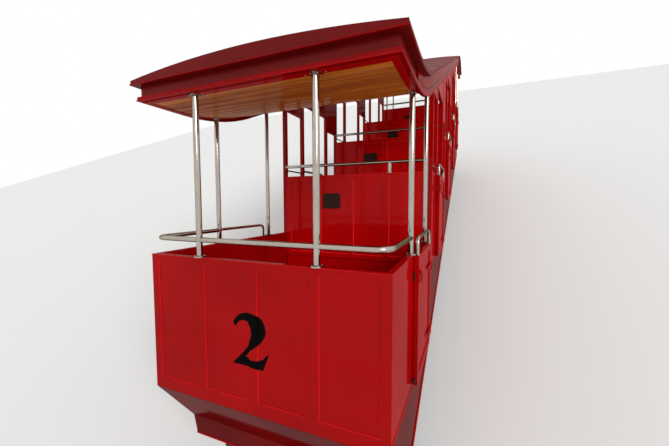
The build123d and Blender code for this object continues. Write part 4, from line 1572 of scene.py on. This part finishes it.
@dataclass
class PoleBolts(Assembly):
    """Bolts on the flanges of the balcony poles, and the screws beside them in the ceiling."""

    ring: float = 0.036
    bolt: Pair = (0.0055, 0.004)
    flange: float = 0.01
    screw: Pair = (0.006, 0.003)
    screw_out: float = 0.075
    border_drop: float = 0.006

    def build(self) -> None:
        """Build the bolts of both balconies."""
        f = self.floors
        for balcony, n, pole in ((End.LOWER, 0, f.wall / 2),
                                 (End.UPPER, f.count - 1, f.length - f.wall / 2)):
            shape = self.shape()
            start, end = f.door(n)
            spots = [(side.value * f.pole_x, pole) for side in Side]
            spots += [(side.value * f.tube_x, d) for side in Side
                      for d in (start - f.post / 2, end + f.post / 2)]
            for x, distance in spots:
                point, up = self.line.spot(distance)
                along = Vector((0, up.z, -up.y))
                foot = Vector((x, distance, f.height(n) + f.guard + self.flange))
                head = point + ACROSS * x - up * (self.flange + 0.0005)
                ring = circle(self.ring, 4, 45)
                shape.domes([foot + Vector((a, b, 0)) for a, b in ring], UP, *self.bolt, 12)
                shape.domes([head + ACROSS * a + along * b for a, b in ring], -up, *self.bolt, 12)
            point, up = self.line.spot(pole)
            screws = [point + ACROSS * (side.value * f.pole_x + out) - up * self.border_drop
                      for side in Side for out in (-self.screw_out, self.screw_out)]
            shape.domes(screws, -up, *self.screw, 12)
            shape.finish(f"{balcony.word}_pole_bolts", self.palette.bolt)


@dataclass
class RailEnds(Assembly):
    """Flanges where the rails over the bulkheads and the window bars meet the posts."""

    bar_height: float = 1.235
    rail_radius: float = 0.0215
    bar_radius: float = 0.0112
    wide: Pair = (0.034, 0.008)
    thin: Pair = (0.016, 0.006)
    screw_ring: float = 0.027
    screw_face: float = 0.006
    screw: Pair = (0.003, 0.002)

    def collar(self, shape: Shape, base: Vector, way: Vector, size: Pair, tube: float) -> None:
        """Add a flange round a tube.

        Args:
            shape: Shape to add it to.
            base: Where the tube meets the face.
            way: Direction of the tube away from the face.
            size: Radius and thickness of the flange.
            tube: Radius of the tube.
        """
        radius, thick = size
        shape.turned([(radius, -SUNK), (radius, thick * 0.6), (radius * 0.9, thick),
                      (tube, thick * 1.4), (tube * 0.9, thick * 1.4)], base, way, 20)

    def build(self) -> None:
        """Build the flanges."""
        f = self.floors
        bright, brown = self.shape(), self.shape()
        inner = f.half - f.wall
        for n in range(1, f.count):
            centre, height = f.wall_at(n) + f.wall / 2, f.height(n)
            for side in Side:
                base = Vector((side.value * inner, centre, height + f.rail_height))
                self.collar(bright, base, -side.out, self.wide, self.rail_radius)
                spots = [base + Vector((-side.value * self.screw_face, a, b))
                         for a, b in circle(self.screw_ring, 4, 45)]
                bright.domes(spots, -side.out, *self.screw, 8)
            self.collar(bright, Vector((f.pole_x, centre, height + f.guard)), UP, self.wide,
                        self.rail_radius)
        for n in range(1, f.count - 1):
            start, end = f.door(n)
            faces = ((f.wall_at(n) + f.post, 1), (start - f.post, -1), (end + f.post, 1),
                     (f.wall_at(n + 1), -1))
            for side in Side:
                for place, way in faces:
                    base = Vector((side.value * f.tube_x, place, f.height(n) + self.bar_height))
                    self.collar(brown, base, UPHILL * way, self.thin, self.bar_radius)
        bright.finish("rail_flanges", self.palette.bolt, Slot.TUBE)
        brown.finish("bar_flanges", self.palette.bar, Slot.BAR)


@dataclass
class BenchScrews(Assembly):
    """Screw heads in the bench slats and in the boards behind them."""

    seat: float = 0.45
    depth: float = 0.43
    slats: int = 5
    slat_gap: float = 0.012
    apron: float = 0.05
    riser: float = 0.02
    supports: tuple[float, ...] = (-0.97, 0.0, 0.97)
    slat_screws: float = 0.018
    boards: Pair = (0.56, 0.70)
    board: float = 0.02
    board_screws: float = 0.028
    screw: Pair = (0.0045, 0.0018)

    def build(self) -> None:
        """Build the screw heads."""
        f = self.floors
        shape = self.shape()
        step = (self.depth + self.slat_gap) / self.slats
        for n in range(1, f.count - 1):
            seat, floor = f.height(n) + self.seat, f.height(n)
            for wall, way in ((f.wall_at(n) + self.apron, 1), (f.wall_at(n + 1) + self.riser, -1)):
                middle = wall + way * self.depth / 2
                rows = [middle + (k - (self.slats - 1) / 2) * step for k in range(self.slats)]
                places = [y + s * self.slat_screws for y in rows for s in (-1, 1)]
                heights = [z + s * self.board_screws for z in self.boards for s in (-1, 1)]
                back = wall + way * self.board
                for x in self.supports:
                    shape.domes([Vector((x, y, seat)) for y in places], UP, *self.screw, 8)
                    shape.domes([Vector((x, back, floor + z)) for z in heights], UPHILL * way,
                                *self.screw, 8)
        shape.finish("bench_screws", self.palette.bolt, Slot.BENCH)


# ---------------------------------------------------------------- running gear and doors


@dataclass
class Running(Assembly):
    """Rivets of the underframe, bolts of the axle boxes and the brake, in the stored frame."""

    web: float = 0.712
    rivet: Pair = (0.009, 0.007)
    rivet_rows: tuple[float, ...] = (-0.03, 0.0, 0.03)
    rivet_drops: tuple[float, ...] = (0.04, 0.08, 0.12)
    cover: float = 0.811
    cover_ring: float = 0.046
    cover_bolt: tuple[Pair, ...] = ((0.009, -SUNK), (0.009, 0.006), (0.0075, 0.0075),
                                    (0.001, 0.0078))
    brake_bolt: tuple[Pair, ...] = ((0.011, -SUNK), (0.011, 0.007), (0.009, 0.009),
                                    (0.001, 0.0095))
    brake_inset: float = 0.05
    brake_rows: Pair = (0.04, 0.13)

    def build(self) -> None:
        """Build the rivets and the bolts."""
        f = self.floors
        shape = Shape(LevelFrame(Vector((0, 0, 0)), UPHILL, UP))
        stored = self.level.matrix()
        walls = [f.wall_at(n) for n in range(1, f.count)]
        steps = [(stored @ Vector((0, wall, f.sole(wall)))).y for wall in walls]
        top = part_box("underframe")[1][2]
        brake_low, brake_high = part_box("rail_brake")
        brake_places = (brake_low[1] + self.brake_inset, (brake_low[1] + brake_high[1]) / 2,
                        brake_high[1] - self.brake_inset)
        for side in Side:
            rivets = [Vector((side.value * self.web, y + dy, top - dz)) for y in steps
                      for dy in self.rivet_rows for dz in self.rivet_drops]
            shape.domes(rivets, side.out, *self.rivet)
            for end in End:
                low, high = (Vector(corner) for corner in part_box(f"{end.word}_wheelset"))
                middle = (low + high) / 2
                for a, b in circle(self.cover_ring, 6):
                    spot = Vector((side.value * self.cover, middle.y + a, middle.z + b))
                    shape.turned(self.cover_bolt, spot, side.out, 6)
            for y in brake_places:
                for z in self.brake_rows:
                    spot = Vector((side.value * brake_high[0], y, brake_low[2] + z))
                    shape.turned(self.brake_bolt, spot, side.out, 6)
        shape.finish("running_gear_bolts", self.palette.frame, Slot.FRAME)


@dataclass
class Door(Assembly):
    """One door: its rail, its latch and the bead in its panel."""

    side: Side
    number: int
    leaf: Pair = (0.91, 1.134)
    face: float = 1.095
    frame_foot: float = 0.08
    frame_top: float = 1.074
    frame_width: float = 0.06
    depth: float = 0.012
    bead_size: float = 0.009
    rail_in: float = 0.02
    rail_inset: float = 0.0465
    rail_radius: float = 0.0165
    rail_corner: float = 0.055
    rail_foot: tuple[Pair, ...] = ((0.021, -0.002), (0.021, 0.006), (0.018, 0.009), (0.0165, 0.009))
    latch_at: Pair = (0.055, 0.96)
    latch_plate: Point = (0.023, 0.065, 0.004)
    latch_boss: tuple[Pair, ...] = ((0.013, 0.0), (0.013, 0.012), (0.01, 0.016))
    boss_at: Pair = (0.003, 0.03)
    # Points of the lever, as how far each stands out and its height over the latch
    lever: tuple[Pair, ...] = ((0.014, 0.03), (0.017, -0.03), (0.013, -0.055))
    lever_radius: float = 0.0065
    lever_corner: float = 0.03
    straps: Pair = (0.18, 0.90)
    strap_bolts: tuple[float, ...] = (0.032, 0.122, 0.202)
    strap_face: float = 0.005
    bolt: Pair = (0.0065, 0.004)

    @property
    def body(self) -> str:
        """The body that the door is."""
        return f"{self.side.word}_door_{self.number}"

    def at(self, out: float, distance: float, height: float) -> Vector:
        """Point that stands out from the leaf's face, at a distance and a height over the floor."""
        x = self.side.value * (self.face + out)
        return Vector((x, distance, self.floors.height(self.number) + height))

    def rail(self, start: float, end: float) -> None:
        """Build the rail, which stands for the CAD fittings.

        Args:
            start: Where the leaf starts.
            end: Where it ends.
        """
        shape = self.shape()
        top, rim = self.floors.rail_height, self.leaf[1]
        one, two = start + self.rail_inset, end - self.rail_inset
        corners = [self.at(-self.rail_in, d, z)
                   for d, z in ((one, rim), (one, top), (two, top), (two, rim))]
        shape.tube(arc_points(corners, self.rail_corner, 8), self.rail_radius)
        for foot in (corners[0], corners[-1]):
            shape.turned(self.rail_foot, foot, UP, 20)
        shape.finish(f"{self.body}_rail", self.palette.tube, Slot.TUBE, self.body,
                     replaces=[f"{self.side.word}_door_fittings_{self.number}"])

    def latch(self, start: float, end: float) -> None:
        """Build the latch with its lever, and the bolts of the hinge straps.

        Args:
            start: Where the leaf starts.
            end: Where it ends.
        """
        shape = self.shape()
        out = self.side.out
        place, height = start + self.latch_at[0], self.latch_at[1]
        half_wide, half_tall, thick = self.latch_plate
        shape.block(self.at(-SUNK, place - half_wide, height - half_tall),
                    self.at(thick, place + half_wide, height + half_tall))
        foot, over = self.boss_at
        shape.turned(self.latch_boss, self.at(foot, place, height + over), out)
        path = [self.at(proud, place, height + dz) for proud, dz in self.lever]
        shape.tube(arc_points(path, self.lever_corner, 4), self.lever_radius, 12)
        shape.domes([self.at(self.strap_face, end - along, strap) for strap in self.straps
                     for along in self.strap_bolts], out, *self.bolt, 12)
        shape.finish(f"{self.body}_latch", self.palette.red, Slot.PAINT, self.body)

    def build(self) -> None:
        """Build the rail, the latch and the bead."""
        low, _ = self.level.extent(self.body)
        start, end = low.y, low.y + self.leaf[0]
        self.rail(start, end)
        self.latch(start, end)
        shape = self.shape()
        shape.bead(self.at(-self.depth, start + self.frame_width, self.frame_foot),
                   self.at(-self.depth, end - self.frame_width, self.frame_top), self.side.out,
                   self.bead_size)
        shape.finish(f"{self.body}_bead", self.palette.red, Slot.PAINT, self.body)


# ---------------------------------------------------------------- the studio


@dataclass(frozen=True)
class Viewpoint:
    """The photograph's camera, in level coordinates, with its angles in degrees."""

    level: LevelFrame
    place: Point = (1.4637, -1.8735, 1.5744)
    yaw: float = 23.0353
    pitch: float = -3.6764
    roll: float = -0.1491
    lens: float = 16.977
    sensor: float = 36.0
    clip: Pair = (0.05, 200.0)

    def build(self) -> None:
        """Set the camera up."""
        yaw, pitch, roll = (math.radians(a) for a in (self.yaw, self.pitch, self.roll))
        right = Vector((math.cos(yaw), math.sin(yaw), 0))
        ahead = Vector((-math.sin(yaw), math.cos(yaw), 0)) * math.cos(pitch) + UP * math.sin(pitch)
        up = right.cross(ahead)
        across = right * math.cos(roll) + up * math.sin(roll)
        above = up * math.cos(roll) - right * math.sin(roll)
        data = bpy.data.cameras.new("camera")
        data.lens = self.lens
        data.sensor_width = self.sensor
        data.clip_start, data.clip_end = self.clip
        camera = add_object("camera", data)
        camera.matrix_world = (self.level.matrix() @ Matrix.Translation(Vector(self.place))
                               @ turned_to(across, above, -ahead))
        bpy.context.scene.camera = camera
        LOG.info("camera")


@dataclass(frozen=True)
class Studio:
    """Pale floor, even sky and one soft lamp, whose angles are in degrees."""

    floor_size: float = 60.0
    floor_colour: Colour = (0.82, 0.82, 0.81)
    sky: float = 0.74
    backdrop: float = 1.0
    lamp: float = 1.6
    lamp_width: float = 25.0
    lamp_turn: Pair = (56.0, 60.0)

    def floor(self) -> None:
        """Build the floor."""
        half = self.floor_size / 2
        shape = bmesh.new()
        shape.faces.new([shape.verts.new((x, y, 0.0)) for x, y in (
            (-half, -half), (half, -half), (half, half), (-half, half))])
        data = bpy.data.meshes.new("studio_floor")
        shape.to_mesh(data)
        shape.free()
        shade = tinted(self.floor_colour, 0.985)
        data.materials.append(FloorTint("pale floor", self.floor_colour, shade).make())
        add_object("studio_floor", data)

    def heaven(self) -> None:
        """Build the sky, which looks white to the camera, in gloss and through glass."""
        world = bpy.data.worlds.new("studio sky")
        world.use_nodes = True
        tree = world.node_tree
        tree.nodes.clear()
        path = tree.nodes.new("ShaderNodeLightPath")
        seen = path.outputs["Is Camera Ray"]
        for kind in ("Is Glossy Ray", "Is Transmission Ray"):
            either = tree.nodes.new("ShaderNodeMath")
            either.operation = "MAXIMUM"
            tree.links.new(seen, either.inputs[0])
            tree.links.new(path.outputs[kind], either.inputs[1])
            seen = either.outputs[0]
        mixed = tree.nodes.new("ShaderNodeMixShader")
        tree.links.new(seen, mixed.inputs[0])
        for index, strength in ((1, self.sky), (2, self.backdrop)):
            sky = tree.nodes.new("ShaderNodeBackground")
            sky.inputs["Strength"].default_value = strength
            sky.inputs["Color"].default_value = (1.0, 1.0, 1.0, 1.0)
            tree.links.new(sky.outputs[0], mixed.inputs[index])
        output = tree.nodes.new("ShaderNodeOutputWorld")
        tree.links.new(mixed.outputs[0], output.inputs["Surface"])
        bpy.context.scene.world = world

    def build(self) -> None:
        """Build the floor, the sky and the lamp."""
        self.floor()
        self.heaven()
        sun = bpy.data.lights.new("soft lamp", "SUN")
        sun.energy = self.lamp
        sun.angle = math.radians(self.lamp_width)
        tilt, turn = (math.radians(a) for a in self.lamp_turn)
        add_object("soft lamp", sun).rotation_euler = (tilt, 0, turn)
        bpy.context.scene.view_settings.view_transform = "Standard"
        LOG.info("studio")


# ---------------------------------------------------------------- the whole car


def main() -> None:
    """Build every sub-assembly in order and report each piece."""
    logging.basicConfig(level=logging.INFO, format="%(message)s")
    for thing in list(bpy.data.objects):
        if thing.name not in frame["nodes"] and not thing.name.startswith("body:"):
            bpy.data.objects.remove(thing)
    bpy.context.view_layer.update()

    level = LevelFrame.from_model()
    palette = Palette()
    floors = Floors(level.slope)
    common = (level, palette, RoofLine(level.slope), floors)
    lower = Apron(*common, "lower_apron")
    parts = [lower, Apron(*common, "upper_apron", floors.count - 1, End.UPPER)]
    for n in range(1, floors.count):
        bulkhead = Apron(*common, f"bulkhead_{n}", n, inside=True)
        parts += [bulkhead, Plaque(*common, bulkhead)]
    parts.append(Numeral(*common, lower))
    parts += [kind(*common) for kind in (Ceiling, RoofTrim, BodySides, PoleBolts, RailEnds,
                                         BenchScrews, Running)]
    parts += [Door(*common, side, n) for side in Side for n in range(floors.count)]

    PackedNodes(palette).dress()
    for part in (*parts, Studio(), Viewpoint(level)):
        part.build()


if __name__ == "__main__":
    main()
